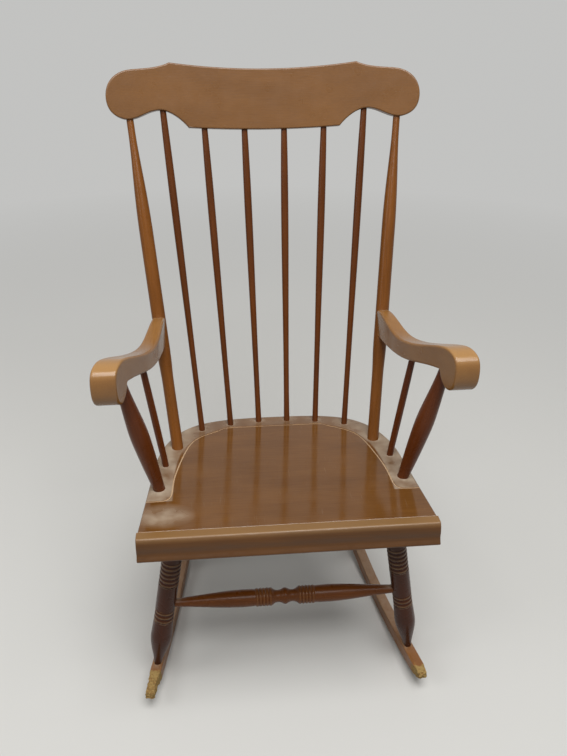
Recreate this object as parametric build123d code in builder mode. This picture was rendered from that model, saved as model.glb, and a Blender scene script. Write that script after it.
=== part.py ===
"""A Boston rocking chair: plank seat, bent crest rail, turned back, sawn arms and bent rockers.

Millimetres. The origin is on the floor, midway between the chair's front and back and on its
middle plane. +Z is up and the sitter faces -Y, so the sitter's left hand is on +X. The pieces of
the left side are modelled, and those of the right side are their mirror images.
"""

from build123d import *
import os
from math import atan2, cos, radians, sin, sqrt, tan

# ---------------------------------------------------------------- driving dimensions

GLUE_GAP = 0.1  # all round a tenon in its socket
SOCKET_END_GAP = 1  # left for glue past the end of a tenon

# Rockers
ROCKER_LENGTH = 688  # front to back, between the ends of the centre lines
ROCKER_SETBACK = 3  # rockers' front ends behind the seat's front edge
ROCKER_RADIUS = 1050  # of the sole
ROCKER_LOW_Y = -86.4  # where the sole is lowest, 2 mm behind the chair's centre of mass
ROCKER_THICKNESS = 22
ROCKER_TOE_DEPTH = 21
ROCKER_LEG_DEPTH = 28  # under each leg
ROCKER_WAIST_DEPTH = 27  # between the legs
ROCKER_HEEL_DEPTH = 21
ROCKER_END_ROUND = 7
ROCKER_EDGE_ROUND = 2.5
ROCKER_TOE_X = 267.5  # centre line to middle plane at the front end
ROCKER_HEEL_X = 164.5

# Seat
SEAT_HEIGHT = 439  # top of the seat at its front edge
SEAT_TILT = 3.2  # degrees down towards the back
SEAT_FRONT_Y = -340
SEAT_FRONT_HALF_WIDTH = 260
SEAT_HIP_HALF_WIDTH = 239  # where the straight sides end
SEAT_HIP_BACK = 222
SEAT_SHOULDER_HALF_WIDTH = 193  # on the round back edge
SEAT_SHOULDER_BACK = 345
SEAT_DEPTH = 393
SEAT_THICKNESS = 38
SEAT_EDGE_ROUND = 4
FRONT_ROLL_WIDTH = 20  # front to back, at its top
FRONT_ROLL_HEIGHT = 43
FRONT_ROLL_BULGE = 6  # its face in front of its top edge
FRONT_ROLL_OVERHANG = 1.5  # past the plank at each end
SEAM_CHAMFER = 0.6

# The groove that parts the sitting face from the rim
GROOVE_WIDTH = 2.6
GROOVE_DEPTH = 1.2
GROOVE_FRONT_BACK = 106  # its front ends behind the seat's front edge
GROOVE_MIDDLE_BACK = 354  # its rearmost point

# Back posts
POST_FOOT_X = 197
POST_FOOT_BACK = 285.5  # behind the seat's front edge
POST_HEAD_X = 258.5
POST_FOOT_RADIUS = 11.3
POST_BODY_RADIUS = 13.2
POST_HEAD_RADIUS = 6.8

# Back spindles, three on each side of the middle
SPINDLES_PER_SIDE = 3
SPINDLE_FOOT_PITCH = 59.4
SPINDLE_HEAD_PITCH = 78.4
SPINDLE_FEET_BACK = 376  # of the arc on which their feet stand
SPINDLE_FEET_RADIUS = 440  # of that arc
SPINDLE_FOOT_RADIUS = 6
SPINDLE_SWELL_RADIUS = 7.5
SPINDLE_HEAD_RADIUS = 5.9

# Crest rail
CREST_BACK = 566.7  # lower edge of its front face at the middle, behind the seat's front edge
CREST_UP = 537.5  # the same point above the seat's front edge
CREST_LEAN = 16.5  # degrees back from upright
CREST_BEND_RADIUS = 1060  # of the front face, hollow towards the sitter
CREST_THICKNESS = 22
CREST_MIDDLE_HEIGHT = 112
CREST_PEAK_X = 180
CREST_PEAK_HEIGHT = 122
CREST_HALF_WIDTH = 299
CREST_CORNER_X = 148  # lower corner between the flat middle and the arch
CREST_CORNER_HEIGHT = 4
CREST_ARCH_HEIGHT = 36  # top of the arch cut into its underside
CREST_LOBE_UNDER_HEIGHT = 18.7  # underside of the rounded end
CREST_EDGE_ROUND = 2.5
SEAT_SOCKET_DEPTH = 24
CREST_SOCKET_DEPTH = 17

# Arms
ARM_BACK_HALF_SPACING = 210  # middle plane to the inner face, at the back post
ARM_MIDDLE_HALF_SPACING = 227
ARM_FRONT_HALF_SPACING = 270
ARM_BACK_WIDTH = 23
ARM_MIDDLE_WIDTH = 34
ARM_FRONT_WIDTH = 41
ARM_NOSE_BACK = 53  # front of the scroll, behind the seat's front edge
ARM_NOTCH_BACK = 106  # where the scroll meets the underside
ARM_MIDDLE_BACK = 225
ARM_SCROLL_TOP_UP = 290  # above the seat's front edge
ARM_SCROLL_UNDER_UP = 219
ARM_NOTCH_UP = 242
ARM_MIDDLE_TOP_UP = 235
ARM_MIDDLE_UNDER_UP = 199
ARM_BACK_TOP_UP = 222
ARM_BACK_UNDER_UP = 173
ARM_COPE_DEPTH = 5.4  # how far the arm's end reaches round the back post
ARM_EDGE_ROUND = 4
ARM_NOTCH_ROUND = 3

# Arm posts and the short spindles behind them
ARM_POST_FOOT_X = 226.6
ARM_POST_FOOT_BACK = 145.5
ARM_POST_HEAD_X = 272.5
ARM_POST_HEAD_BACK = 115.5
ARM_POST_FOOT_RADIUS = 10.8
ARM_POST_BULB_RADIUS = 16.5
ARM_POST_HEAD_RADIUS = 10.5
ARM_SPINDLE_FOOT_X = 217.7
ARM_SPINDLE_FOOT_BACK = 221
ARM_SPINDLE_HEAD_X = 244
ARM_SPINDLE_HEAD_BACK = 222
ARM_SPINDLE_END_RADIUS = 6
ARM_SPINDLE_SWELL_RADIUS = 6.6
ARM_SOCKET_DEPTH = 20

# Screws that hold the arms to the back posts, under wooden plugs
SCREW_SHANK_RADIUS = 2.2
SCREW_HEAD_RADIUS = 4.4
SCREW_HEAD_HEIGHT = 2.8
SCREW_REACH_IN_ARM = 28
SCREW_CLEARANCE = 0.2
PLUG_RADIUS = 5
PLUG_HEIGHT = 5.2
COUNTERBORE_DEPTH = 8.6  # from the back of the post

# Legs
FRONT_LEG_HEAD_X = 196
FRONT_LEG_HEAD_BACK = 84
FRONT_LEG_FOOT_BACK = 84.5
REAR_LEG_HEAD_X = 160
REAR_LEG_HEAD_BACK = 322
REAR_LEG_FOOT_BACK = 392
LEG_BODY_RADIUS = 18.8
LEG_BULB_RADIUS = 20.5
LEG_ANKLE_RADIUS = 7
LEG_COPE_DEPTH = 3  # how far its foot reaches over the rocker's rounded top edges
LEG_HEAD_RADIUS = 17
LEG_BULB_HEIGHT = 84  # along the leg, above the rocker
LEG_LOW_RINGS_HEIGHT = 125
LEG_LOW_RINGS = 3
LEG_LOW_RING_PITCH = 10.4
LEG_TOP_RINGS_HEIGHT = 218.5
LEG_TOP_RINGS = 6
LEG_TOP_RING_PITCH = 10.3
LEG_RING_RISE = 1.7  # the rings are cut into the leg and stand as high as its body
REAR_LEG_BODY_RADIUS = 18
LEG_TENON_RADIUS = 12  # in the seat
LEG_TENON_LENGTH = 24
FOOT_TENON_RADIUS = 6  # in the rocker
FOOT_TENON_LENGTH = 16

# Stretchers
FRONT_STRETCHER_HEIGHT = 204
FRONT_STRETCHER_END_RADIUS = 8
FRONT_STRETCHER_BODY_RADIUS = 17.4
STRETCHER_RINGS = 5
STRETCHER_RING_PITCH = 6.4
STRETCHER_RING_RISE = 1.5
STRETCHER_BEAD_RADIUS = 15.6
STRETCHER_BEAD_WIDTH = 8
STRETCHER_COVE_RADIUS = 11.4
STRETCHER_COVE_WIDTH = 21
REAR_STRETCHER_HEIGHT = 180
REAR_STRETCHER_END_RADIUS = 7.5
REAR_STRETCHER_BODY_RADIUS = 10.5

# ---------------------------------------------------------------- derived places

SEAT_DROP = tan(radians(SEAT_TILT))  # fall of the seat for each millimetre back
SEAT_TOP = Plane(
    origin=(0, SEAT_FRONT_Y, SEAT_HEIGHT),
    x_dir=(1, 0, 0),
    z_dir=(0, sin(radians(SEAT_TILT)), cos(radians(SEAT_TILT))),
)
SEAT_UNDERSIDE = SEAT_TOP.offset(-SEAT_THICKNESS)

TOE_IN = atan2(ROCKER_TOE_X - ROCKER_HEEL_X, ROCKER_LENGTH)  # of the left rocker, radians
ROCKER_MIDDLE_Y = SEAT_FRONT_Y + ROCKER_SETBACK + ROCKER_LENGTH / 2
ROCKER_HALF_RUN = ROCKER_LENGTH / 2 / cos(TOE_IN)
ROCKER_LOW_RUN = (ROCKER_LOW_Y - ROCKER_MIDDLE_Y) / cos(TOE_IN)
ROCKER_SIDE = Plane(
    origin=((ROCKER_TOE_X + ROCKER_HEEL_X) / 2, ROCKER_MIDDLE_Y, 0),
    x_dir=(-sin(TOE_IN), cos(TOE_IN), 0),
    z_dir=(cos(TOE_IN), sin(TOE_IN), 0),
)

# The crest rail's own directions: X across, Y up its leaning face, Z towards the sitter.
CREST_FACE = Plane(
    origin=(0, SEAT_FRONT_Y + CREST_BACK, SEAT_HEIGHT + CREST_UP),
    x_dir=(1, 0, 0),
    z_dir=(0, -cos(radians(CREST_LEAN)), sin(radians(CREST_LEAN))),
)
CREST_SECTION = Plane(origin=CREST_FACE.origin, x_dir=(1, 0, 0), z_dir=CREST_FACE.y_dir)


def on_seat(x, back):
    """A point on the seat's top face, a distance behind its front edge."""
    return Vector(x, SEAT_FRONT_Y + back, SEAT_HEIGHT - back * SEAT_DROP)


def under_seat(x, back):
    """The point of the seat's underside straight below on_seat."""
    return on_seat(x, back) - Vector(0, 0, SEAT_THICKNESS / cos(radians(SEAT_TILT)))


def by_seat(x, back, up):
    """A point measured back and up from the seat's front edge."""
    return Vector(x, SEAT_FRONT_Y + back, SEAT_HEIGHT + up)


def in_crest(x, height):
    """The point midway through the crest rail, across and up its face."""
    bend = CREST_BEND_RADIUS + CREST_THICKNESS / 2
    forward = bend - sqrt(bend**2 - x**2) - CREST_THICKNESS / 2
    return CREST_FACE.from_local_coords(Vector(x, height, forward))


def rocker_run(back):
    """Distance along the rocker from its middle, for a distance behind the seat's front edge."""
    return (SEAT_FRONT_Y + back - ROCKER_MIDDLE_Y) / cos(TOE_IN)


def sole_height(run):
    """Height of the rocker's sole above the floor at a distance along the rocker."""
    return ROCKER_RADIUS - sqrt(ROCKER_RADIUS**2 - (run - ROCKER_LOW_RUN) ** 2)


def on_rocker(back):
    """The point on top of the left rocker's centre line under a leg."""
    run = rocker_run(back)
    return ROCKER_SIDE.from_local_coords(Vector(run, sole_height(run) + ROCKER_LEG_DEPTH, 0))


def at_height(foot, head, height):
    """The point of a leg's centre line at a height above the floor."""
    return foot + (head - foot) * ((height - foot.Z) / (head.Z - foot.Z))


def mirrored(point, side):
    """The point itself for side 1, and its mirror image across the middle plane for side -1."""
    return Vector(point.X * side, point.Y, point.Z)


def turning_plane(foot, head):
    """A plane through a turned piece's centre line: X is the radius, and Y runs foot to head."""
    run = (head - foot).normalized()
    across = Vector(0, 1, 0).cross(run)
    if across.length < 0.5:
        across = Vector(0, 0, 1).cross(run)
    across = across.normalized()
    return Plane(origin=foot, x_dir=across, z_dir=across.cross(run))


def turn(plane):
    """Revolve the half profile just drawn on a turning plane about that plane's Y."""
    revolve(axis=Axis(plane.origin, plane.y_dir))


def peg(foot, head, radius, start, end, mode=Mode.ADD):
    """A round peg along the line from foot to head, between two distances from foot."""
    run = (head - foot).normalized()
    with Locations(Plane(origin=foot + run * start, z_dir=run)):
        Cylinder(radius, end - start, align=(Align.CENTER, Align.CENTER, Align.MIN), mode=mode)


def bore(foot, head, radius, start, end):
    """Drill a hole along the line from foot to head, between two distances from foot."""
    peg(foot, head, radius, start, end, Mode.SUBTRACT)


def draw_rings(radius, start, pitch, count, rise):
    """A row of half-round rings in a half profile, each standing out by rise."""
    for ring in range(count):
        low = start + ring * pitch
        ThreePointArc((radius, low), (radius + rise, low + pitch / 2), (radius, low + pitch))


def flat_side_edges(piece, plane):
    """The edges round the two flat sides of a board that was extruded square to a plane."""
    sides = piece.faces().sort_by(Axis(plane.origin, plane.z_dir))
    return sides[0].edges() + sides[-1].edges()


# Centre lines of the turned pieces of the left side, each from foot to head.
post_foot = on_seat(POST_FOOT_X, POST_FOOT_BACK)
post_head = in_crest(POST_HEAD_X, CREST_LOBE_UNDER_HEIGHT)

spindle_lines = []
for number in range(SPINDLES_PER_SIDE):
    foot_x = SPINDLE_FOOT_PITCH * (number + 0.5)
    head_x = SPINDLE_HEAD_PITCH * (number + 0.5)
    set_forward = SPINDLE_FEET_RADIUS - sqrt(SPINDLE_FEET_RADIUS**2 - foot_x**2)
    head_height = CREST_ARCH_HEIGHT if head_x > CREST_CORNER_X else CREST_CORNER_HEIGHT / 2
    spindle_lines.append(
        (on_seat(foot_x, SPINDLE_FEET_BACK - set_forward), in_crest(head_x, head_height))
    )

arm_post_foot = on_seat(ARM_POST_FOOT_X, ARM_POST_FOOT_BACK)
arm_post_head = by_seat(ARM_POST_HEAD_X, ARM_POST_HEAD_BACK, ARM_NOTCH_UP - 4)
arm_spindle_foot = on_seat(ARM_SPINDLE_FOOT_X, ARM_SPINDLE_FOOT_BACK)
arm_spindle_head = by_seat(ARM_SPINDLE_HEAD_X, ARM_SPINDLE_HEAD_BACK, ARM_MIDDLE_UNDER_UP)

front_leg_foot = on_rocker(FRONT_LEG_FOOT_BACK)
front_leg_head = under_seat(FRONT_LEG_HEAD_X, FRONT_LEG_HEAD_BACK)
rear_leg_foot = on_rocker(REAR_LEG_FOOT_BACK)
rear_leg_head = under_seat(REAR_LEG_HEAD_X, REAR_LEG_HEAD_BACK)

front_stretcher_end = at_height(front_leg_foot, front_leg_head, FRONT_STRETCHER_HEIGHT)
rear_stretcher_end = at_height(rear_leg_foot, rear_leg_head, REAR_STRETCHER_HEIGHT)

# The arm screw's line: square to the back post, forward through it into the arm's end.
post_run = (post_head - post_foot).normalized()
arm_end_height = SEAT_HEIGHT + (ARM_BACK_TOP_UP + ARM_BACK_UNDER_UP) / 2
screw_centre = at_height(post_foot, post_head, arm_end_height)
screw_run = (Vector(0, -1, 0) + post_run * post_run.Y).normalized()

# Round members that enter the seat's top face: foot, head and radius of each.
seat_top_joints = [
    (post_foot, post_head, POST_FOOT_RADIUS),
    (arm_post_foot, arm_post_head, ARM_POST_FOOT_RADIUS),
    (arm_spindle_foot, arm_spindle_head, ARM_SPINDLE_END_RADIUS),
]
seat_top_joints += [(foot, head, SPINDLE_FOOT_RADIUS) for foot, head in spindle_lines]

# Round members that enter the crest rail.
crest_joints = [(post_foot, post_head, POST_HEAD_RADIUS)]
crest_joints += [(foot, head, SPINDLE_HEAD_RADIUS) for foot, head in spindle_lines]

left_pieces = {}  # name without its side: the finished left piece
middle_pieces = {}  # pieces that lie across the middle plane, and the pairs kept as one node

# ---------------------------------------------------------------- rockers

front_run = rocker_run(FRONT_LEG_FOOT_BACK)
rear_run = rocker_run(REAR_LEG_FOOT_BACK)
waist_run = (front_run + rear_run) / 2
toe_sole = sole_height(-ROCKER_HALF_RUN)
heel_sole = sole_height(ROCKER_HALF_RUN)

with BuildPart() as rocker_blank:
    with BuildSketch(ROCKER_SIDE) as rocker_side:
        with BuildLine():
            ThreePointArc(
                (-ROCKER_HALF_RUN, toe_sole), (ROCKER_LOW_RUN, 0), (ROCKER_HALF_RUN, heel_sole)
            )
            Line((ROCKER_HALF_RUN, heel_sole), (ROCKER_HALF_RUN, heel_sole + ROCKER_HEEL_DEPTH))
            Spline(
                (ROCKER_HALF_RUN, heel_sole + ROCKER_HEEL_DEPTH),
                (rear_run, sole_height(rear_run) + ROCKER_LEG_DEPTH),
                (waist_run, sole_height(waist_run) + ROCKER_WAIST_DEPTH),
                (front_run, sole_height(front_run) + ROCKER_LEG_DEPTH),
                (-ROCKER_HALF_RUN, toe_sole + ROCKER_TOE_DEPTH),
            )
            Line((-ROCKER_HALF_RUN, toe_sole + ROCKER_TOE_DEPTH), (-ROCKER_HALF_RUN, toe_sole))
        make_face()
        fillet(rocker_side.vertices(), ROCKER_END_ROUND)
    extrude(amount=ROCKER_THICKNESS / 2, both=True)
    fillet(flat_side_edges(rocker_blank, ROCKER_SIDE), ROCKER_EDGE_ROUND)

with BuildPart() as rocker:
    add(rocker_blank.part)
    for foot, head in ((front_leg_foot, front_leg_head), (rear_leg_foot, rear_leg_head)):
        bore(
            foot, head, FOOT_TENON_RADIUS + GLUE_GAP,
            -FOOT_TENON_LENGTH - SOCKET_END_GAP, LEG_ANKLE_RADIUS,
        )
left_pieces["rocker"] = rocker.part

# ---------------------------------------------------------------- legs


def cut_leg_ends(foot, head):
    """Cope a leg's ends to the rocker and the seat, and add the tenons that enter them."""
    add(rocker_blank.part, mode=Mode.SUBTRACT)
    split(bisect_by=SEAT_UNDERSIDE, keep=Keep.BOTTOM)
    length = (head - foot).length
    peg(foot, head, FOOT_TENON_RADIUS, -FOOT_TENON_LENGTH, LEG_ANKLE_RADIUS)
    peg(foot, head, LEG_TENON_RADIUS, length - LEG_TENON_LENGTH, length + LEG_TENON_LENGTH)


def bore_for_stretcher(centre, radius):
    """Drill a leg from its inner side, a little past its centre line, for a stretcher's end."""
    bore(centre, centre - Vector(1, 0, 0), radius + GLUE_GAP, -SOCKET_END_GAP, LEG_BULB_RADIUS * 2)


with BuildPart() as front_leg:
    front_leg_plane = turning_plane(front_leg_foot, front_leg_head)
    leg_length = (front_leg_head - front_leg_foot).length
    low_rings_end = LEG_LOW_RINGS_HEIGHT + LEG_LOW_RINGS * LEG_LOW_RING_PITCH
    top_rings_end = LEG_TOP_RINGS_HEIGHT + LEG_TOP_RINGS * LEG_TOP_RING_PITCH
    ring_root = LEG_BODY_RADIUS - LEG_RING_RISE
    with BuildSketch(front_leg_plane):
        with BuildLine():
            Polyline(
                (LEG_ANKLE_RADIUS, 0), (LEG_ANKLE_RADIUS, -LEG_COPE_DEPTH),
                (0, -LEG_COPE_DEPTH), (0, leg_length + LEG_HEAD_RADIUS),
                (LEG_HEAD_RADIUS, leg_length + LEG_HEAD_RADIUS),
            )
            Spline(
                (LEG_ANKLE_RADIUS, 0),
                (LEG_ANKLE_RADIUS + 5.6, LEG_BULB_HEIGHT * 0.37),
                (LEG_BULB_RADIUS - 3.6, LEG_BULB_HEIGHT * 0.6),
                (LEG_BULB_RADIUS - 0.6, LEG_BULB_HEIGHT * 0.83),
                (LEG_BULB_RADIUS, LEG_BULB_HEIGHT),
            )
            Polyline(
                (LEG_BULB_RADIUS, LEG_BULB_HEIGHT), (LEG_BODY_RADIUS, LEG_LOW_RINGS_HEIGHT),
                (ring_root, LEG_LOW_RINGS_HEIGHT),
            )
            draw_rings(
                ring_root, LEG_LOW_RINGS_HEIGHT, LEG_LOW_RING_PITCH, LEG_LOW_RINGS, LEG_RING_RISE
            )
            Polyline(
                (ring_root, low_rings_end), (LEG_BODY_RADIUS, low_rings_end),
                (LEG_BODY_RADIUS, LEG_TOP_RINGS_HEIGHT), (ring_root, LEG_TOP_RINGS_HEIGHT),
            )
            draw_rings(
                ring_root, LEG_TOP_RINGS_HEIGHT, LEG_TOP_RING_PITCH, LEG_TOP_RINGS, LEG_RING_RISE
            )
            Polyline(
                (ring_root, top_rings_end), (LEG_BODY_RADIUS, top_rings_end),
                (LEG_HEAD_RADIUS, leg_length + LEG_HEAD_RADIUS),
            )
        make_face()
    turn(front_leg_plane)
    cut_leg_ends(front_leg_foot, front_leg_head)
    bore_for_stretcher(front_stretcher_end, FRONT_STRETCHER_END_RADIUS)
left_pieces["front_leg"] = front_leg.part

with BuildPart() as rear_leg:
    rear_leg_plane = turning_plane(rear_leg_foot, rear_leg_head)
    leg_length = (rear_leg_head - rear_leg_foot).length
    with BuildSketch(rear_leg_plane):
        with BuildLine():
            Polyline(
                (LEG_ANKLE_RADIUS, 0), (LEG_ANKLE_RADIUS, -LEG_COPE_DEPTH),
                (0, -LEG_COPE_DEPTH), (0, leg_length + LEG_HEAD_RADIUS),
                (LEG_HEAD_RADIUS, leg_length + LEG_HEAD_RADIUS),
            )
            Spline(
                (LEG_ANKLE_RADIUS, 0),
                (REAR_LEG_BODY_RADIUS - 5, LEG_BULB_HEIGHT * 0.45),
                (REAR_LEG_BODY_RADIUS, LEG_BULB_HEIGHT * 1.3),
                (REAR_LEG_BODY_RADIUS, leg_length * 0.6),
                (LEG_HEAD_RADIUS, leg_length + LEG_HEAD_RADIUS),
            )
        make_face()
    turn(rear_leg_plane)
    cut_leg_ends(rear_leg_foot, rear_leg_head)
    bore_for_stretcher(rear_stretcher_end, REAR_STRETCHER_END_RADIUS)
left_pieces["rear_leg"] = rear_leg.part

# ---------------------------------------------------------------- stretchers

stretcher_middle = Vector(0, front_stretcher_end.Y, front_stretcher_end.Z)
with BuildPart() as front_stretcher:
    half_run = front_stretcher_end.X
    bead_edge = STRETCHER_BEAD_WIDTH / 2
    rings_start = bead_edge + STRETCHER_COVE_WIDTH
    rings_end = rings_start + STRETCHER_RINGS * STRETCHER_RING_PITCH
    ring_root = FRONT_STRETCHER_BODY_RADIUS - STRETCHER_RING_RISE
    half_plane = turning_plane(stretcher_middle, front_stretcher_end)
    with BuildSketch(half_plane):
        with BuildLine():
            Polyline(
                (STRETCHER_BEAD_RADIUS, 0), (0, 0), (0, half_run),
                (FRONT_STRETCHER_END_RADIUS, half_run),
                (FRONT_STRETCHER_END_RADIUS, half_run - LEG_BODY_RADIUS),
            )
            Spline(
                (FRONT_STRETCHER_END_RADIUS, half_run - LEG_BODY_RADIUS),
                (FRONT_STRETCHER_BODY_RADIUS - 6.4, half_run * 0.73),
                (FRONT_STRETCHER_BODY_RADIUS - 2, half_run * 0.5),
                (ring_root, rings_end),
            )
            draw_rings(
                ring_root, rings_start, STRETCHER_RING_PITCH, STRETCHER_RINGS, STRETCHER_RING_RISE
            )
            Spline(
                (ring_root, rings_start),
                (STRETCHER_COVE_RADIUS, bead_edge + STRETCHER_COVE_WIDTH / 2),
                (STRETCHER_BEAD_RADIUS - 1.2, bead_edge),
            )
            ThreePointArc(
                (STRETCHER_BEAD_RADIUS - 1.2, bead_edge),
                (STRETCHER_BEAD_RADIUS - 0.3, bead_edge / 2),
                (STRETCHER_BEAD_RADIUS, 0),
            )
        make_face()
    turn(half_plane)
    mirror(about=Plane.YZ)
middle_pieces["front_stretcher"] = front_stretcher.part

with BuildPart() as rear_stretcher:
    half_run = rear_stretcher_end.X
    rear_middle = Vector(0, rear_stretcher_end.Y, rear_stretcher_end.Z)
    half_plane = turning_plane(rear_middle, rear_stretcher_end)
    with BuildSketch(half_plane):
        with BuildLine():
            Polyline(
                (REAR_STRETCHER_BODY_RADIUS, 0), (0, 0), (0, half_run),
                (REAR_STRETCHER_END_RADIUS, half_run),
                (REAR_STRETCHER_END_RADIUS, half_run - LEG_BODY_RADIUS),
            )
            Spline(
                (REAR_STRETCHER_END_RADIUS, half_run - LEG_BODY_RADIUS),
                (REAR_STRETCHER_BODY_RADIUS - 1.4, half_run * 0.5),
                (REAR_STRETCHER_BODY_RADIUS, 0),
            )
        make_face()
    turn(half_plane)
    mirror(about=Plane.YZ)
middle_pieces["rear_stretcher"] = rear_stretcher.part

# ---------------------------------------------------------------- seat

side_run_in = SEAT_FRONT_HALF_WIDTH - SEAT_HIP_HALF_WIDTH
joint_half_width = SEAT_FRONT_HALF_WIDTH - side_run_in * FRONT_ROLL_WIDTH / SEAT_HIP_BACK


def draw_sitting_edge(grow):
    """Outline of the sitting face and all before it, its border moved outwards by grow."""
    outside = SEAT_FRONT_HALF_WIDTH + FRONT_ROLL_WIDTH
    corner_x = POST_FOOT_X + ARM_POST_FOOT_RADIUS * 2.5
    run = GROOVE_MIDDLE_BACK - GROOVE_FRONT_BACK
    Polyline(
        (0, -outside), (outside, -outside), (outside, GROOVE_FRONT_BACK + grow),
        (corner_x, GROOVE_FRONT_BACK + grow),
    )
    Spline(
        (corner_x, GROOVE_FRONT_BACK + grow),
        (POST_FOOT_X * 1.027 + grow, GROOVE_FRONT_BACK + run * 0.161 + grow * 0.2),
        (POST_FOOT_X * 0.976 + grow, GROOVE_FRONT_BACK + run * 0.46),
        (POST_FOOT_X * 0.904 + grow * 0.9, GROOVE_FRONT_BACK + run * 0.69 + grow * 0.4),
        (POST_FOOT_X * 0.792 + grow * 0.75, GROOVE_FRONT_BACK + run * 0.851 + grow * 0.65),
        (POST_FOOT_X * 0.591 + grow * 0.35, GROOVE_FRONT_BACK + run * 0.952 + grow * 0.95),
        (0, GROOVE_MIDDLE_BACK + grow),
        tangents=((-1, 0), (-1, 0)),
    )
    mirror(about=Plane.YZ)


with BuildPart() as seat_plank:
    with BuildSketch(SEAT_TOP):
        with BuildLine():
            Polyline(
                (0, FRONT_ROLL_WIDTH), (joint_half_width, FRONT_ROLL_WIDTH),
                (SEAT_HIP_HALF_WIDTH, SEAT_HIP_BACK),
            )
            Spline(
                (SEAT_HIP_HALF_WIDTH, SEAT_HIP_BACK),
                (SEAT_SHOULDER_HALF_WIDTH, SEAT_SHOULDER_BACK),
                (0, SEAT_DEPTH),
                tangents=((-side_run_in, SEAT_HIP_BACK), (-1, 0)),
            )
            mirror(about=Plane.YZ)
        make_face()
    extrude(amount=-SEAT_THICKNESS)

    # Soft edges all round but at the joint with the front roll, where only the seam is eased.
    joint_side = seat_plank.faces().sort_by(Axis.Y)[0]
    fillet(
        [
            edge
            for edge in flat_side_edges(seat_plank, SEAT_TOP)
            if edge.center().Y > joint_side.center().Y + SEAT_EDGE_ROUND
        ],
        SEAT_EDGE_ROUND,
    )
    seam = seat_plank.faces().sort_by(Axis.Y)[0].edges().sort_by(Axis.Z)[-1]
    chamfer(seam, SEAM_CHAMFER)

    # The groove: the border between a slightly larger and a slightly smaller sitting face.
    with BuildSketch(SEAT_TOP):
        with BuildLine():
            draw_sitting_edge(GROOVE_WIDTH / 2)
        make_face()
        with BuildLine():
            draw_sitting_edge(-GROOVE_WIDTH / 2)
        make_face(mode=Mode.SUBTRACT)
    extrude(amount=-GROOVE_DEPTH, mode=Mode.SUBTRACT)

    for side in (1, -1):
        for foot, head, radius in seat_top_joints:
            bore(
                mirrored(foot, side), mirrored(head, side), radius + GLUE_GAP,
                -SEAT_SOCKET_DEPTH - SOCKET_END_GAP, SEAT_THICKNESS,
            )
        for foot, head in ((front_leg_foot, front_leg_head), (rear_leg_foot, rear_leg_head)):
            length = (head - foot).length
            bore(
                mirrored(foot, side), mirrored(head, side), LEG_TENON_RADIUS + GLUE_GAP,
                length - LEG_TENON_LENGTH, length + LEG_TENON_LENGTH + SOCKET_END_GAP,
            )
middle_pieces["seat_plank"] = seat_plank.part

with BuildPart() as seat_front_roll:
    roll_half_length = joint_half_width + FRONT_ROLL_OVERHANG
    # The roll's section: X forward from the seat's front edge and Y down from its top face.
    roll_section = Plane(
        origin=SEAT_TOP.from_local_coords(Vector(-roll_half_length, 0, 0)),
        x_dir=-SEAT_TOP.y_dir,
        z_dir=(1, 0, 0),
    )
    with BuildSketch(roll_section):
        with BuildLine():
            Polyline(
                (-FRONT_ROLL_WIDTH * 0.1, FRONT_ROLL_HEIGHT),
                (-FRONT_ROLL_WIDTH, FRONT_ROLL_HEIGHT),
                (-FRONT_ROLL_WIDTH, SEAM_CHAMFER),
                (-FRONT_ROLL_WIDTH + SEAM_CHAMFER, 0),
                (-FRONT_ROLL_WIDTH * 0.25, 0),
            )
            Spline(
                (-FRONT_ROLL_WIDTH * 0.25, 0),
                (0, FRONT_ROLL_HEIGHT * 0.07),
                (FRONT_ROLL_BULGE * 0.75, FRONT_ROLL_HEIGHT * 0.46),
                (FRONT_ROLL_BULGE, FRONT_ROLL_HEIGHT * 0.76),
                (-FRONT_ROLL_WIDTH * 0.1, FRONT_ROLL_HEIGHT),
                tangents=((1, 0), (-1, 0)),
            )
        make_face()
    extrude(amount=2 * roll_half_length)
    end_faces = seat_front_roll.faces().sort_by(Axis.X)
    fillet(
        [
            edge
            for edge in end_faces[0].edges() + end_faces[-1].edges()
            if edge.center().Y < SEAT_FRONT_Y + FRONT_ROLL_WIDTH * 0.8
        ],
        FRONT_ROLL_OVERHANG - GLUE_GAP,
    )
middle_pieces["seat_front_roll"] = seat_front_roll.part

# ---------------------------------------------------------------- back

with BuildPart() as back_post:
    post_length = (post_head - post_foot).length
    arm_low = 0.3 * post_length  # the post is straight here, where the arm is coped to it
    arm_high = 0.66 * post_length
    post_plane = turning_plane(post_foot, post_head)
    with BuildSketch(post_plane):
        with BuildLine():
            Polyline(
                (POST_HEAD_RADIUS, post_length - CREST_SOCKET_DEPTH),
                (POST_HEAD_RADIUS, post_length + CREST_SOCKET_DEPTH),
                (0, post_length + CREST_SOCKET_DEPTH), (0, -SEAT_SOCKET_DEPTH),
                (POST_FOOT_RADIUS, -SEAT_SOCKET_DEPTH), (POST_FOOT_RADIUS, arm_low * 0.66),
            )
            Spline(
                (POST_FOOT_RADIUS, arm_low * 0.66), (POST_BODY_RADIUS, arm_low),
                tangents=((0, 1), (0, 1)),
            )
            Line((POST_BODY_RADIUS, arm_low), (POST_BODY_RADIUS, arm_high))
            Spline(
                (POST_BODY_RADIUS, arm_high),
                ((POST_BODY_RADIUS + POST_HEAD_RADIUS) / 2 + 0.4, arm_high + 0.16 * post_length),
                (POST_HEAD_RADIUS, post_length - CREST_SOCKET_DEPTH),
                tangents=((0, 1), (0, 1)),
            )
        make_face()
    turn(post_plane)
    screw_axis = (screw_centre, screw_centre - screw_run)  # from the centre line to the back
    seat_of_head = POST_BODY_RADIUS - COUNTERBORE_DEPTH
    bore(*screw_axis, SCREW_SHANK_RADIUS + SCREW_CLEARANCE, -2 * POST_BODY_RADIUS, seat_of_head)
    bore(*screw_axis, PLUG_RADIUS + GLUE_GAP / 2, seat_of_head, 2 * POST_BODY_RADIUS)
left_pieces["back_post"] = back_post.part

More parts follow.
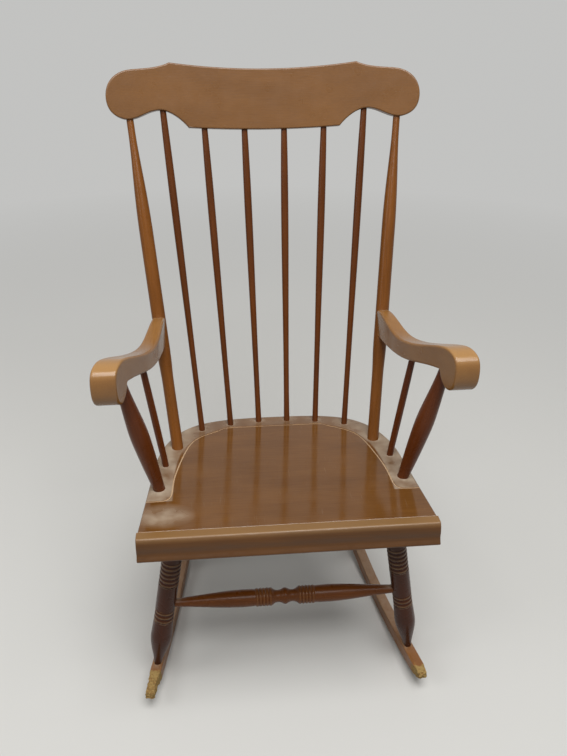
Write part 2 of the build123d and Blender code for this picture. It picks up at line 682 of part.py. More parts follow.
spindle_names = ("inner", "middle", "outer")
for name, (foot, head) in zip(spindle_names, spindle_lines):
    with BuildPart() as back_spindle:
        length = (head - foot).length
        spindle_plane = turning_plane(foot, head)
        with BuildSketch(spindle_plane):
            with BuildLine():
                Polyline(
                    (SPINDLE_HEAD_RADIUS, length), (SPINDLE_HEAD_RADIUS, length + CREST_SOCKET_DEPTH),
                    (0, length + CREST_SOCKET_DEPTH), (0, -SEAT_SOCKET_DEPTH),
                    (SPINDLE_FOOT_RADIUS, -SEAT_SOCKET_DEPTH), (SPINDLE_FOOT_RADIUS, 0),
                )
                Spline(
                    (SPINDLE_FOOT_RADIUS, 0),
                    (SPINDLE_SWELL_RADIUS - 0.9, length * 0.45),
                    (SPINDLE_SWELL_RADIUS, length * 0.75),
                    (SPINDLE_HEAD_RADIUS, length),
                )
            make_face()
        turn(spindle_plane)
    left_pieces["back_spindle_" + name] = back_spindle.part

with BuildPart() as crest_rail:
    with BuildSketch(CREST_FACE):
        with BuildLine():
            ThreePointArc(
                (-CREST_PEAK_X, CREST_PEAK_HEIGHT), (0, CREST_MIDDLE_HEIGHT),
                (CREST_PEAK_X, CREST_PEAK_HEIGHT),
            )
            ThreePointArc(
                (-CREST_CORNER_X, CREST_CORNER_HEIGHT), (0, 0),
                (CREST_CORNER_X, CREST_CORNER_HEIGHT),
            )
            lobe_height = (CREST_PEAK_HEIGHT - 13 + CREST_LOBE_UNDER_HEIGHT) / 2
            end_run = CREST_HALF_WIDTH - CREST_PEAK_X  # length of the rounded end
            arch_x = CREST_HALF_WIDTH - end_run * 0.83
            end_curve = Spline(
                (CREST_PEAK_X, CREST_PEAK_HEIGHT),
                (CREST_PEAK_X + end_run * 0.23, CREST_PEAK_HEIGHT - 8.5),
                (CREST_PEAK_X + end_run * 0.49, CREST_PEAK_HEIGHT - 12.5),
                (CREST_HALF_WIDTH - end_run * 0.26, CREST_PEAK_HEIGHT - 18),
                (CREST_HALF_WIDTH - end_run * 0.067, lobe_height + 22),
                (CREST_HALF_WIDTH, lobe_height - 4),
                (CREST_HALF_WIDTH - end_run * 0.076, lobe_height - 33),
                (CREST_HALF_WIDTH - end_run * 0.31, CREST_LOBE_UNDER_HEIGHT),
                (CREST_HALF_WIDTH - end_run * 0.67, CREST_ARCH_HEIGHT - 3.5),
                (arch_x, CREST_ARCH_HEIGHT),
                ((CREST_CORNER_X + arch_x) / 2, CREST_ARCH_HEIGHT - 9),
                (CREST_CORNER_X, CREST_CORNER_HEIGHT),
            )
            mirror(end_curve, about=Plane.YZ)
        make_face()
    extrude(amount=CREST_HALF_WIDTH, both=True)
    with BuildSketch(CREST_SECTION):
        with Locations((0, -CREST_BEND_RADIUS)):
            Circle(CREST_BEND_RADIUS + CREST_THICKNESS)
            Circle(CREST_BEND_RADIUS, mode=Mode.SUBTRACT)
    extrude(amount=2 * CREST_PEAK_HEIGHT, both=True, mode=Mode.INTERSECT)
    bent_faces = crest_rail.faces().filter_by(GeomType.CYLINDER).sort_by(SortBy.AREA)[-2:]
    fillet(bent_faces[0].edges() + bent_faces[1].edges(), CREST_EDGE_ROUND)
    for side in (1, -1):
        for foot, head, radius in crest_joints:
            length = (head - foot).length
            bore(
                mirrored(foot, side), mirrored(head, side), radius + GLUE_GAP,
                length - CREST_ARCH_HEIGHT, length + CREST_SOCKET_DEPTH + SOCKET_END_GAP,
            )
middle_pieces["crest_rail"] = crest_rail.part

# ---------------------------------------------------------------- arms

with BuildPart() as arm:
    # The arm's end line, beside the back post's centre line.
    end_set_forward = (POST_BODY_RADIUS - ARM_COPE_DEPTH) / cos(atan2(post_run.Y, post_run.Z))
    end_low = at_height(post_foot, post_head, SEAT_HEIGHT + ARM_BACK_UNDER_UP)
    end_high = at_height(post_foot, post_head, SEAT_HEIGHT + ARM_BACK_TOP_UP)
    low_back = end_low.Y - end_set_forward - SEAT_FRONT_Y
    high_back = end_high.Y - end_set_forward - SEAT_FRONT_Y
    scroll_middle_up = (ARM_SCROLL_TOP_UP + ARM_SCROLL_UNDER_UP) / 2
    front_run = ARM_MIDDLE_BACK - ARM_NOSE_BACK
    front_rise = ARM_SCROLL_TOP_UP - ARM_MIDDLE_TOP_UP
    top_run = high_back - ARM_MIDDLE_BACK
    under_run = low_back - ARM_MIDDLE_BACK
    notch_run = ARM_MIDDLE_BACK - ARM_NOTCH_BACK
    plan_front = ARM_NOSE_BACK - ARM_EDGE_ROUND  # clear of the scroll's nose
    with BuildSketch(Plane(origin=(0, SEAT_FRONT_Y, SEAT_HEIGHT), x_dir=(0, 1, 0), z_dir=(1, 0, 0))):
        with BuildLine():
            Spline(
                (high_back, ARM_BACK_TOP_UP),
                (high_back - 0.383 * top_run, ARM_BACK_TOP_UP + 7),
                (ARM_MIDDLE_BACK + 0.284 * top_run, ARM_MIDDLE_TOP_UP - 9),
                (ARM_MIDDLE_BACK, ARM_MIDDLE_TOP_UP),
                (ARM_MIDDLE_BACK - 0.384 * front_run, ARM_MIDDLE_TOP_UP + 0.49 * front_rise),
                (ARM_NOSE_BACK + 0.349 * front_run, ARM_SCROLL_TOP_UP - 7),
                (ARM_NOSE_BACK + 0.174 * front_run, ARM_SCROLL_TOP_UP),
                (ARM_NOSE_BACK + 8, ARM_SCROLL_TOP_UP - 7),
                (ARM_NOSE_BACK, scroll_middle_up + 4),
                (ARM_NOSE_BACK + 7, scroll_middle_up - 24),
                (ARM_NOSE_BACK + 25, ARM_SCROLL_UNDER_UP),
                (ARM_NOTCH_BACK - 11, ARM_SCROLL_UNDER_UP + 6),
                (ARM_NOTCH_BACK, ARM_NOTCH_UP),
            )
            Spline(
                (ARM_NOTCH_BACK, ARM_NOTCH_UP),
                (ARM_NOTCH_BACK + 0.42 * notch_run, ARM_NOTCH_UP - 17),
                (ARM_MIDDLE_BACK, ARM_MIDDLE_UNDER_UP),
                (low_back - 0.445 * under_run, ARM_BACK_UNDER_UP + 10),
                (low_back, ARM_BACK_UNDER_UP),
            )
            Line((low_back, ARM_BACK_UNDER_UP), (high_back, ARM_BACK_TOP_UP))
        make_face()
    extrude(amount=2 * ARM_FRONT_HALF_SPACING)
    with BuildSketch(Plane(origin=(0, SEAT_FRONT_Y, SEAT_HEIGHT))):
        with BuildLine():
            Spline(
                (ARM_BACK_HALF_SPACING, high_back),
                (ARM_BACK_HALF_SPACING + 2, high_back - 0.321 * top_run),
                (ARM_MIDDLE_HALF_SPACING, ARM_MIDDLE_BACK),
                (ARM_FRONT_HALF_SPACING - 17, ARM_NOTCH_BACK + 16),
                (ARM_FRONT_HALF_SPACING, plan_front),
            )
            Line(
                (ARM_FRONT_HALF_SPACING, plan_front),
                (ARM_FRONT_HALF_SPACING + ARM_FRONT_WIDTH, plan_front),
            )
            Spline(
                (ARM_FRONT_HALF_SPACING + ARM_FRONT_WIDTH, plan_front),
                (ARM_FRONT_HALF_SPACING + ARM_FRONT_WIDTH - 17, ARM_NOTCH_BACK + 16),
                (ARM_MIDDLE_HALF_SPACING + ARM_MIDDLE_WIDTH, ARM_MIDDLE_BACK),
                (ARM_BACK_HALF_SPACING + 2 + ARM_BACK_WIDTH + 3, high_back - 0.321 * top_run),
                (ARM_BACK_HALF_SPACING + ARM_BACK_WIDTH, high_back),
            )
            Line(
                (ARM_BACK_HALF_SPACING + ARM_BACK_WIDTH, high_back), (ARM_BACK_HALF_SPACING, high_back)
            )
        make_face()
    extrude(amount=2 * (SEAT_HEIGHT + ARM_SCROLL_TOP_UP), both=True, mode=Mode.INTERSECT)
    notch = arm.edges().filter_by(Axis.X).sort_by(Axis.Y)[0]
    fillet(notch, ARM_NOTCH_ROUND)
    sawn_sides = [face for face in arm.faces() if abs(face.normal_at().X) > 0.8]
    fillet(
        [
            edge
            for face in sawn_sides
            for edge in face.edges()
            if edge.center().Y < SEAT_FRONT_Y + low_back - 1
        ],
        ARM_EDGE_ROUND,
    )
    bore(post_foot, post_head, POST_BODY_RADIUS + GLUE_GAP, 0, (post_head - post_foot).length)
    for foot, head, radius in (
        (arm_post_foot, arm_post_head, ARM_POST_HEAD_RADIUS),
        (arm_spindle_foot, arm_spindle_head, ARM_SPINDLE_END_RADIUS),
    ):
        length = (head - foot).length
        bore(
            foot, head, radius + GLUE_GAP,
            length - ARM_SOCKET_DEPTH, length + ARM_SOCKET_DEPTH + SOCKET_END_GAP,
        )
    bore(
        screw_centre, screw_centre + screw_run, SCREW_SHANK_RADIUS + SCREW_CLEARANCE,
        0, POST_BODY_RADIUS + SCREW_REACH_IN_ARM + SOCKET_END_GAP,
    )
left_pieces["arm"] = arm.part

with BuildPart() as arm_post:
    length = (arm_post_head - arm_post_foot).length
    swell = ARM_POST_BULB_RADIUS - ARM_POST_FOOT_RADIUS
    straight_end = ARM_SOCKET_DEPTH * 0.3  # stays straight this far outside each socket
    arm_post_plane = turning_plane(arm_post_foot, arm_post_head)
    with BuildSketch(arm_post_plane):
        with BuildLine():
            Polyline(
                (ARM_POST_HEAD_RADIUS, length - straight_end),
                (ARM_POST_HEAD_RADIUS, length + ARM_SOCKET_DEPTH),
                (0, length + ARM_SOCKET_DEPTH), (0, -SEAT_SOCKET_DEPTH),
                (ARM_POST_FOOT_RADIUS, -SEAT_SOCKET_DEPTH), (ARM_POST_FOOT_RADIUS, straight_end),
            )
            Spline(
                (ARM_POST_FOOT_RADIUS, straight_end),
                (ARM_POST_FOOT_RADIUS + swell * 0.6, length * 0.25),
                (ARM_POST_FOOT_RADIUS + swell * 0.89, length * 0.4),
                (ARM_POST_BULB_RADIUS, length * 0.53),
                (ARM_POST_BULB_RADIUS - swell * 0.2, length * 0.64),
                (ARM_POST_BULB_RADIUS - swell * 0.65, length * 0.78),
                (ARM_POST_HEAD_RADIUS, length - straight_end),
            )
        make_face()
    turn(arm_post_plane)
left_pieces["arm_post"] = arm_post.part

with BuildPart() as arm_spindle:
    length = (arm_spindle_head - arm_spindle_foot).length
    arm_spindle_plane = turning_plane(arm_spindle_foot, arm_spindle_head)
    with BuildSketch(arm_spindle_plane):
        with BuildLine():
            Polyline(
                (ARM_SPINDLE_END_RADIUS, length), (ARM_SPINDLE_END_RADIUS, length + ARM_SOCKET_DEPTH),
                (0, length + ARM_SOCKET_DEPTH), (0, -SEAT_SOCKET_DEPTH),
                (ARM_SPINDLE_END_RADIUS, -SEAT_SOCKET_DEPTH), (ARM_SPINDLE_END_RADIUS, 0),
            )
            ThreePointArc(
                (ARM_SPINDLE_END_RADIUS, 0), (ARM_SPINDLE_SWELL_RADIUS, length / 2),
                (ARM_SPINDLE_END_RADIUS, length),
            )
        make_face()
    turn(arm_spindle_plane)
left_pieces["arm_spindle"] = arm_spindle.part

# ---------------------------------------------------------------- arm screws and their plugs

with BuildPart() as arm_screws:
    for side in (1, -1):
        line = [mirrored(point, side) for point in screw_axis]
        peg(*line, SCREW_SHANK_RADIUS, -POST_BODY_RADIUS - SCREW_REACH_IN_ARM, seat_of_head)
        peg(*line, SCREW_HEAD_RADIUS, seat_of_head, seat_of_head + SCREW_HEAD_HEIGHT)
middle_pieces["arm_screws"] = arm_screws.part

with BuildPart() as arm_screw_plugs:
    plug_start = seat_of_head + SCREW_HEAD_HEIGHT + GLUE_GAP
    for side in (1, -1):
        line = [mirrored(point, side) for point in screw_axis]
        peg(*line, PLUG_RADIUS, plug_start, plug_start + PLUG_HEIGHT)
middle_pieces["arm_screw_plugs"] = arm_screw_plugs.part

# ---------------------------------------------------------------- the named pieces

for name, piece in left_pieces.items():
    with BuildPart() as twin:
        mirror(piece, about=Plane.YZ)
    middle_pieces[name + "_left"] = piece
    middle_pieces[name + "_right"] = twin.part

os.makedirs("parts", exist_ok=True)
for name, piece in middle_pieces.items():
    piece.label = name
    export_step(piece, "parts/" + name + ".step")
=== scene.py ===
"""The finishes, worn toes, light and camera of a Boston rocking chair, laid out as an add-on.

Metres. The origin is on the floor under the middle of the chair, +Z is up and the sitter faces
-Y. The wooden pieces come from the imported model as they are. Each gets a lacquered wood of its own
tone with the grain along its length. The two rockers are remodelled, because their toes are
chewed down to bare wood.
"""

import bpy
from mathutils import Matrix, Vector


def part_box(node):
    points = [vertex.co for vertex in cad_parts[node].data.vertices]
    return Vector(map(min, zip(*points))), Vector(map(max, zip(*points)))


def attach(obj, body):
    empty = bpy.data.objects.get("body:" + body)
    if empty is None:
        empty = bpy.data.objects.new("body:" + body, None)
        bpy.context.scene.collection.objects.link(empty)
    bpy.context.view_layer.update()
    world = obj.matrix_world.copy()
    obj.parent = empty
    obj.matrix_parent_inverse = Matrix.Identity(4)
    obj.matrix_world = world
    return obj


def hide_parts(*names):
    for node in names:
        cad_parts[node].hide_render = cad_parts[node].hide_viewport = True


bl_info = {
    "name": "Boston Rocking Chair",
    "version": (1, 0, 0),
    "blender": (4, 5, 0),
    "location": "3D View > Sidebar > Rocking Chair",
    "description": "Finishes, lights and films a Boston rocking chair",
    "category": "Object",
}

from math import pi, radians
from random import Random

import bpy
from bpy.props import FloatProperty, FloatVectorProperty, PointerProperty
from mathutils import Matrix, Vector

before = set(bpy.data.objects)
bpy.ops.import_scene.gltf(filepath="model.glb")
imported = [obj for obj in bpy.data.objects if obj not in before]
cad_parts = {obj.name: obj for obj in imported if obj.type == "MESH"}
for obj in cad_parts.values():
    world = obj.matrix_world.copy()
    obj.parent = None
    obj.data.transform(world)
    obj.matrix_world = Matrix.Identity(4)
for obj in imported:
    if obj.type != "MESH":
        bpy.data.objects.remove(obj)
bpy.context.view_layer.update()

MM = 0.001
BACK_SPINDLES = ("back_spindle_inner", "back_spindle_middle", "back_spindle_outer")
SIDES = ("left", "right")
ALONG_X = Vector((1, 0, 0))
ALONG_Y = Vector((0, 1, 0))
CROSSWISE, UPRIGHT = 0, 2  # index of the axis that a turned piece runs along
# Under lacquer's own 1.5: at 1.5 the pale surroundings turn the dark round pieces grey.
DARK_PIECES_IOR = 1.3

# The smaller patterns in the wood and its lacquer.
TONE_SPREAD = 0.2  # between the palest and the darkest of the round pieces
PITH_LEAN = (radians(2.2), radians(1.4), 0)  # so that the growth rings run out of a face
RUB_PATCH_WIDTH = 9 * MM
RUB_PATCH_LENGTH = 26 * MM
DUST_CLUMP = 13 * MM
SMUDGE = 30 * MM
GRAIN_RELIEF = 0.03 * MM

# The seat's own plane: its front edge, its fall to the back, and the groove in its top.
SEAT_FRONT_EDGE = Vector((0, -340 * MM, 439 * MM))
SEAT_TILT = radians(3.2)
GROOVE_FRONT = 106 * MM  # where the groove leaves the sides, behind the front edge
GROOVE_RUN = 248 * MM  # from there to its rearmost point
GROOVE_HALF_WIDTH = 200 * MM
GROOVE_SQUARENESS = 3.4  # exponent of the superellipse that the groove follows
GROOVE_CUT_START = -0.4 * MM  # height over the plane at which its wall begins to show bare wood
GROOVE_CUT_FULL = -1.2 * MM
GROOVE_WALL_REACH = 2 * MM  # how close a wall has to stand
RIM_DUST_START = 120 * MM  # out from the middle, where the rim's dust begins to thicken
RIM_DUST_FULL = 205 * MM
DUST_DRIFT = 34 * MM
HAZE_MIDDLE = (-215 * MM, 62 * MM, 0)  # on the seat's plane, from its front edge
HAZE_REACH = (52 * MM, 34 * MM, 1)
SCRATCH_ANGLES = (25, -38, 80)
SCRATCH_WIDTH = 0.7 * MM  # wider than real ones, so that they show
SCRATCH_LENGTH = 45 * MM
SCRATCHED_PATCH = 60 * MM

# Start, pitch and count of each row of turned rings.
FOOT_TENON = 16 * MM  # the leg below its shoulder, inside the rocker
LEG_RINGS = ((125 * MM, 10.4 * MM, 3), (218.5 * MM, 10.3 * MM, 6))  # from the leg's shoulder up
STRETCHER_RINGS = ((25 * MM, 6.4 * MM, 5),)  # from the stretcher's middle outward

# Where hands and legs rub, and where a highlight is painted as a paler top: behind an arm's front,
# and below the top of the front roll.
SCROLL_RUB_AND_HIGHLIGHT_START = 95 * MM
SCROLL_RUB_AND_HIGHLIGHT_FULL = 25 * MM
ROLL_RUB_AND_HIGHLIGHT_START = 25 * MM
ROLL_RUB_AND_HIGHLIGHT_FULL = 5 * MM

# The rockers: their tops are swept clean in front, and their toes are bitten.
SWEPT_UP_TO = -260 * MM
DUSTY_FROM = -180 * MM
TOE_FADE = 22 * MM  # from sound wood to fully chewed
TOE_SMOOTHING = 45  # passes that round the toe before it is bitten
TORN_BORDER_WANDER = 9 * MM
TORN_BORDER_BLUR = 2 * MM
TOOTH_HOLLOW = 4 * MM
TOE_MOTTLE = 3.5 * MM

STEEL_BLOOM = 1.5 * MM

BACKDROP_WHITE = "F4F4F2"
FLOOR_SIZE = 60
# Between these distances from the chair's middle the floor turns into the backdrop.
FLOOR_FADE_START = 0.9
FLOOR_FADE_END = 3.2
# Name, place, aim, share of the overhead lamp's power, and size.
LAMPS = (
    ("overhead lamp", (0.3, -1.8, 4.6), (0, -0.1, 0.4), 1.0, 3.0),
    ("side lamp", (-2.4, -1.0, 2.3), (0, 0, 0.6), 0.065, 1.2),
)


def linear(code):
    """An sRGB hex colour as linear red, green, blue and alpha."""
    shares = [int(code[start:start + 2], 16) / 255 for start in (0, 2, 4)]
    return [c / 12.92 if c <= 0.04045 else ((c + 0.055) / 1.055) ** 2.4 for c in shares] + [1.0]


def colour(label, code, description):
    """A colour that a user can change, with its default as an sRGB hex code."""
    return FloatVectorProperty(
        name=label, description=description, subtype="COLOR", size=4, min=0, max=1,
        default=linear(code),
    )


def length(label, value, description):
    """A length that a user can change, in metres."""
    return FloatProperty(
        name=label, description=description, unit="LENGTH", min=0, default=value
    )


# ---------------------------------------------------------------- settings


class ChairColours(bpy.types.PropertyGroup):
    """Tones of the wood under the lacquer, of what is worn bare and of what lies on it."""

    seat: colour("Seat", "744C23", "Stained seat plank")
    seat_dark: colour("Seat, dark grain", "563413", "Late wood and stain blotches of the seat")
    roll: colour("Front roll", "5C3608", "Stained strip along the seat's front")
    roll_dark: colour("Front roll, dark grain", "442707", "Late wood of the front strip")
    crest: colour("Crest rail", "84592D", "Stained crest rail")
    crest_dark: colour("Crest rail, dark grain", "6C4722", "Late wood of the crest rail")
    arm: colour("Arms", "986B38", "Stained arms")
    arm_dark: colour("Arms, dark grain", "7C532C", "Late wood of the arms")
    post: colour("Back posts", "844F1C", "Stained back posts")
    post_dark: colour("Back posts, dark grain", "63380F", "Late wood of the back posts")
    spindle: colour("Spindles", "69370F", "Stained back spindles")
    spindle_dark: colour("Spindles, dark grain", "4E2608", "Late wood of the back spindles")
    arm_post: colour("Arm posts", "6F3815", "Stained arm posts and short spindles")
    arm_post_dark: colour("Arm posts, dark grain", "4E2209", "Late wood of the arm posts")
    # Both leg colours are darker than the stain alone: painted shade from under the seat is in them.
    leg: colour("Legs", "4A2007", "Stained legs")
    leg_dark: colour("Legs, dark grain", "341505", "Late wood of the legs")
    stretcher: colour("Stretchers", "713E16", "Stained stretchers")
    stretcher_dark: colour("Stretchers, dark grain", "522B0C", "Late wood of the stretchers")
    rocker: colour("Rockers", "8C5A2C", "Stained rockers")
    rocker_dark: colour("Rockers, dark grain", "664020", "Late wood of the rockers")
    groove: colour("Groove", "D2B28C", "Bare wood and wax in the seat's groove")
    bare: colour("Bare wood", "C79B62", "Wood where the lacquer is rubbed through")
    chewed: colour("Chewed wood", "A28650", "Torn wood of the rockers' toes")
    # Laid darker in the hollows of the bites and in mottled spots of old stain.
    chewed_dark: colour("Chewed wood, hollows", "74491F", "Dirt and old stain in the tooth marks")
    dust: colour("Dust", "BAA993", "House dust that lies in corners and on ledges")
    steel: colour("Screws", "B4B6B9", "Zinc-plated steel")
    floor: colour("Floor", "D6D5D1", "Plain pale floor")
    bounce: colour("Floor bounce", "7E7E7A", "How much light the floor throws back")


class ChairSizes(bpy.types.PropertyGroup):
    """Real sizes of the patterns in the wood and of the marks of use."""

    ring_width: length("Growth ring", 4.5 * MM, "Width of one year's growth")
    fibre_width: length("Fibre streak", 1.1 * MM, "Width of a streak of fibres")
    fibre_length: length("Fibre streak length", 55 * MM, "Length of a streak of fibres")
    blotch_size: length("Stain blotch", 45 * MM, "Patch where the stain took more or less")
    edge_wear: length("Worn edge", 3 * MM, "Width of the rub along an edge")
    dust_reach: length("Dust reach", 28 * MM, "How far dust spreads from a corner")
    voxel: length("Remesh size", 1.2 * MM, "Fineness of the remodelled rockers")
    tooth_mark: length("Tooth mark", 6.5 * MM, "Width of one bite in a chewed toe")
    bite_depth: length("Bite depth", 5 * MM, "How deep the bites go")
    chewed_right: length("Chewed, right toe", 60 * MM, "Chewed length of the right rocker")
    chewed_left: length("Chewed, left toe", 27 * MM, "Chewed length of the left rocker")


class ChairStage(bpy.types.PropertyGroup):
    """Camera and lamps."""

    camera_place: FloatVectorProperty(
        name="Camera", description="Where the camera stands", subtype="XYZ", unit="LENGTH",
        default=(-0.1125, -1.3423, 1.3213),
    )
    yaw: FloatProperty(
        name="Yaw", description="Turn of the camera to its left", subtype="ANGLE",
        default=radians(-5.590),
    )
    pitch: FloatProperty(
        name="Pitch", description="Tilt of the camera upwards", subtype="ANGLE",
        default=radians(-30.065),
    )
    roll: FloatProperty(
        name="Roll", description="Lean of the camera", subtype="ANGLE", default=radians(-0.444)
    )
    lens: FloatProperty(
        name="Lens", description="Focal length on a 36 mm sensor", default=37.14, min=1
    )
    overhead_power: FloatProperty(
        name="Overhead lamp", description="Power of the soft lamp over the chair",
        unit="POWER", default=190, min=0,
    )
    sky: FloatProperty(
        name="Surrounding light", description="Strength of the even light from all round",
        default=0.3, min=0,
    )
    backdrop: FloatProperty(
        name="Backdrop", description="Brightness of the pale room seen past the floor",
        default=0.6, min=0,
    )


# ---------------------------------------------------------------- node patterns


def add_node(material, kind, inputs=None, **settings):
    """Add a shader node. Each input is a value, or an output socket of another node to link."""
    made = material.node_tree.nodes.new("ShaderNode" + kind)
    for name, value in settings.items():
        setattr(made, name, value)
    for name, value in (inputs or {}).items():
        if isinstance(value, bpy.types.NodeSocket):
            material.node_tree.links.new(value, made.inputs[name])
        else:
            made.inputs[name].default_value = value
    return made


def new_material(name, **values):
    """A material, its shader with these uniform values set, and its Object coordinates."""
    material = bpy.data.materials.new(name)
    material.use_nodes = True
    shader = material.node_tree.nodes["Principled BSDF"]
    for label, value in values.items():
        shader.inputs[label.replace("_", " ")].default_value = value
    coordinates = add_node(material, "TexCoord")
    return material, shader, coordinates.outputs["Object"]


def streaks(material, local, width, run, detail=3.0):
    """Noise drawn out along the grain: across is width, along is run."""
    stretched = add_node(
        material, "VectorMath", {0: local, 1: (1 / width, 1 / width, 1 / run)},
        operation="MULTIPLY",
    )
    noise = add_node(
        material, "TexNoise", {"Vector": stretched.outputs[0], "Scale": 1.0, "Detail": detail}
    )
    return noise.outputs["Fac"]


def strongest(material, shares):
    """The highest of several patterns at each point."""
    highest = shares[0]
    for share in shares[1:]:
        taller = add_node(material, "Math", {0: highest, 1: share}, operation="MAXIMUM")
        highest = taller.outputs[0]
    return highest


def growth_rings(material, local, width, pith, wobble):
    """Thin dark late-wood lines round a pith that stands beside the piece and leans a little."""
    about_pith = add_node(
        material, "Mapping",
        {"Vector": local, "Location": pith, "Rotation": PITH_LEAN},
        vector_type="TEXTURE",
    )
    flattened = add_node(
        material, "VectorMath", {0: about_pith.outputs[0], 1: (1, 1, 0)}, operation="MULTIPLY"
    )
    radius = add_node(material, "VectorMath", {0: flattened.outputs[0]}, operation="LENGTH")
    drift = add_node(material, "Math", {0: wobble, 1: width * 3}, operation="MULTIPLY")
    wandering = add_node(material, "Math", {0: radius.outputs["Value"], 1: drift.outputs[0]})
    years = add_node(material, "Math", {0: wandering.outputs[0], 1: width}, operation="DIVIDE")
    season = add_node(material, "Math", {0: years.outputs[0]}, operation="FRACT")
    late = add_node(material, "Math", {0: season.outputs[0], 1: 5.0}, operation="POWER")
    return late.outputs[0]


def worn_edges(material, local, radius, share):
    """Where a corner is rubbed: high where the surface stands proud, in patches."""
    thin = add_node(
        material, "AmbientOcclusion", {"Distance": radius}, samples=8, inside=True,
        only_local=True,
    )
    proud = add_node(
        material, "MapRange", {"Value": thin.outputs["AO"], "From Min": 0.88, "From Max": 0.6}
    )
    patches = streaks(material, local, RUB_PATCH_WIDTH, RUB_PATCH_LENGTH)
    rubbed = add_node(
        material, "MapRange",
        {"Value": patches, "From Min": 0.62 - share * 0.4, "From Max": 0.75 - share * 0.2},
    )
    both = add_node(
        material, "Math", {0: proud.outputs[0], 1: rubbed.outputs[0]}, operation="MULTIPLY"
    )
    return both.outputs[0]


def ring_crests(material, along, groups):
    """Thin lines along the crests of turned rings, from each group's start, pitch and count."""
    lines = []
    for start, pitch, count in groups:
        turns = add_node(
            material, "Math", {0: along, 1: 1 / pitch, 2: -start / pitch},
            operation="MULTIPLY_ADD",
        )
        place = add_node(material, "Math", {0: turns.outputs[0]}, operation="FRACT")
        offset = add_node(material, "Math", {0: place.outputs[0], 1: 0.5}, operation="SUBTRACT")
        distance = add_node(material, "Math", {0: offset.outputs[0]}, operation="ABSOLUTE")
        line = add_node(
            material, "MapRange",
            {"Value": distance.outputs[0], "From Min": 0.22, "From Max": 0.1},
        )
        within = add_node(
            material, "Math", {0: turns.outputs[0], 1: count / 2, 2: count / 2},
            operation="COMPARE",
        )
        group = add_node(
            material, "Math", {0: line.outputs[0], 1: within.outputs[0]}, operation="MULTIPLY"
        )
        lines.append(group.outputs[0])
    return strongest(material, lines)


def settled_dust(material, local, reach, most):
    """Dust that lies where a face looks up and something stands close by.

    Returns the dust, how far the face looks up, and the clumps that the dust lies in.
    """
    shade = add_node(material, "AmbientOcclusion", {"Distance": reach}, samples=8)
    corner = add_node(
        material, "MapRange", {"Value": shade.outputs["AO"], "From Min": 0.92, "From Max": 0.6}
    )
    surface = add_node(material, "NewGeometry")
    axes = add_node(material, "SeparateXYZ", {0: surface.outputs["Normal"]})
    facing_up = add_node(
        material, "MapRange", {"Value": axes.outputs["Z"], "From Min": 0.35, "From Max": 0.85}
    )
    lying = add_node(
        material, "Math", {0: corner.outputs[0], 1: facing_up.outputs[0]}, operation="MULTIPLY"
    )
    clumps = add_node(
        material, "TexNoise", {"Vector": local, "Scale": 1 / DUST_CLUMP, "Detail": 3.0}
    )
    amount = add_node(
        material, "MapRange",
        {"Value": clumps.outputs["Fac"], "From Min": 0.35, "From Max": 0.65, "To Min": most / 5,
         "To Max": most},
    )
    dust = add_node(
        material, "Math", {0: lying.outputs[0], 1: amount.outputs[0]}, operation="MULTIPLY"
    )
    return dust.outputs[0], facing_up.outputs[0], clumps.outputs["Fac"]


def blend_colours(material, share, under, over):
    """One colour laid over another by a share."""
    mixed = add_node(material, "Mix", {0: share, 6: under, 7: over}, data_type="RGBA")
    return mixed.outputs[2]


def grain_place(centre, direction, seed):
    """Place and turn of a pattern whose Z runs along a piece, slid along it by its own amount."""
    slide = direction.normalized() * Random(seed).uniform(0, 3)
    turn = direction.to_track_quat("Z", "Y").to_euler()
    return {"Location": centre + slide, "Rotation": turn}


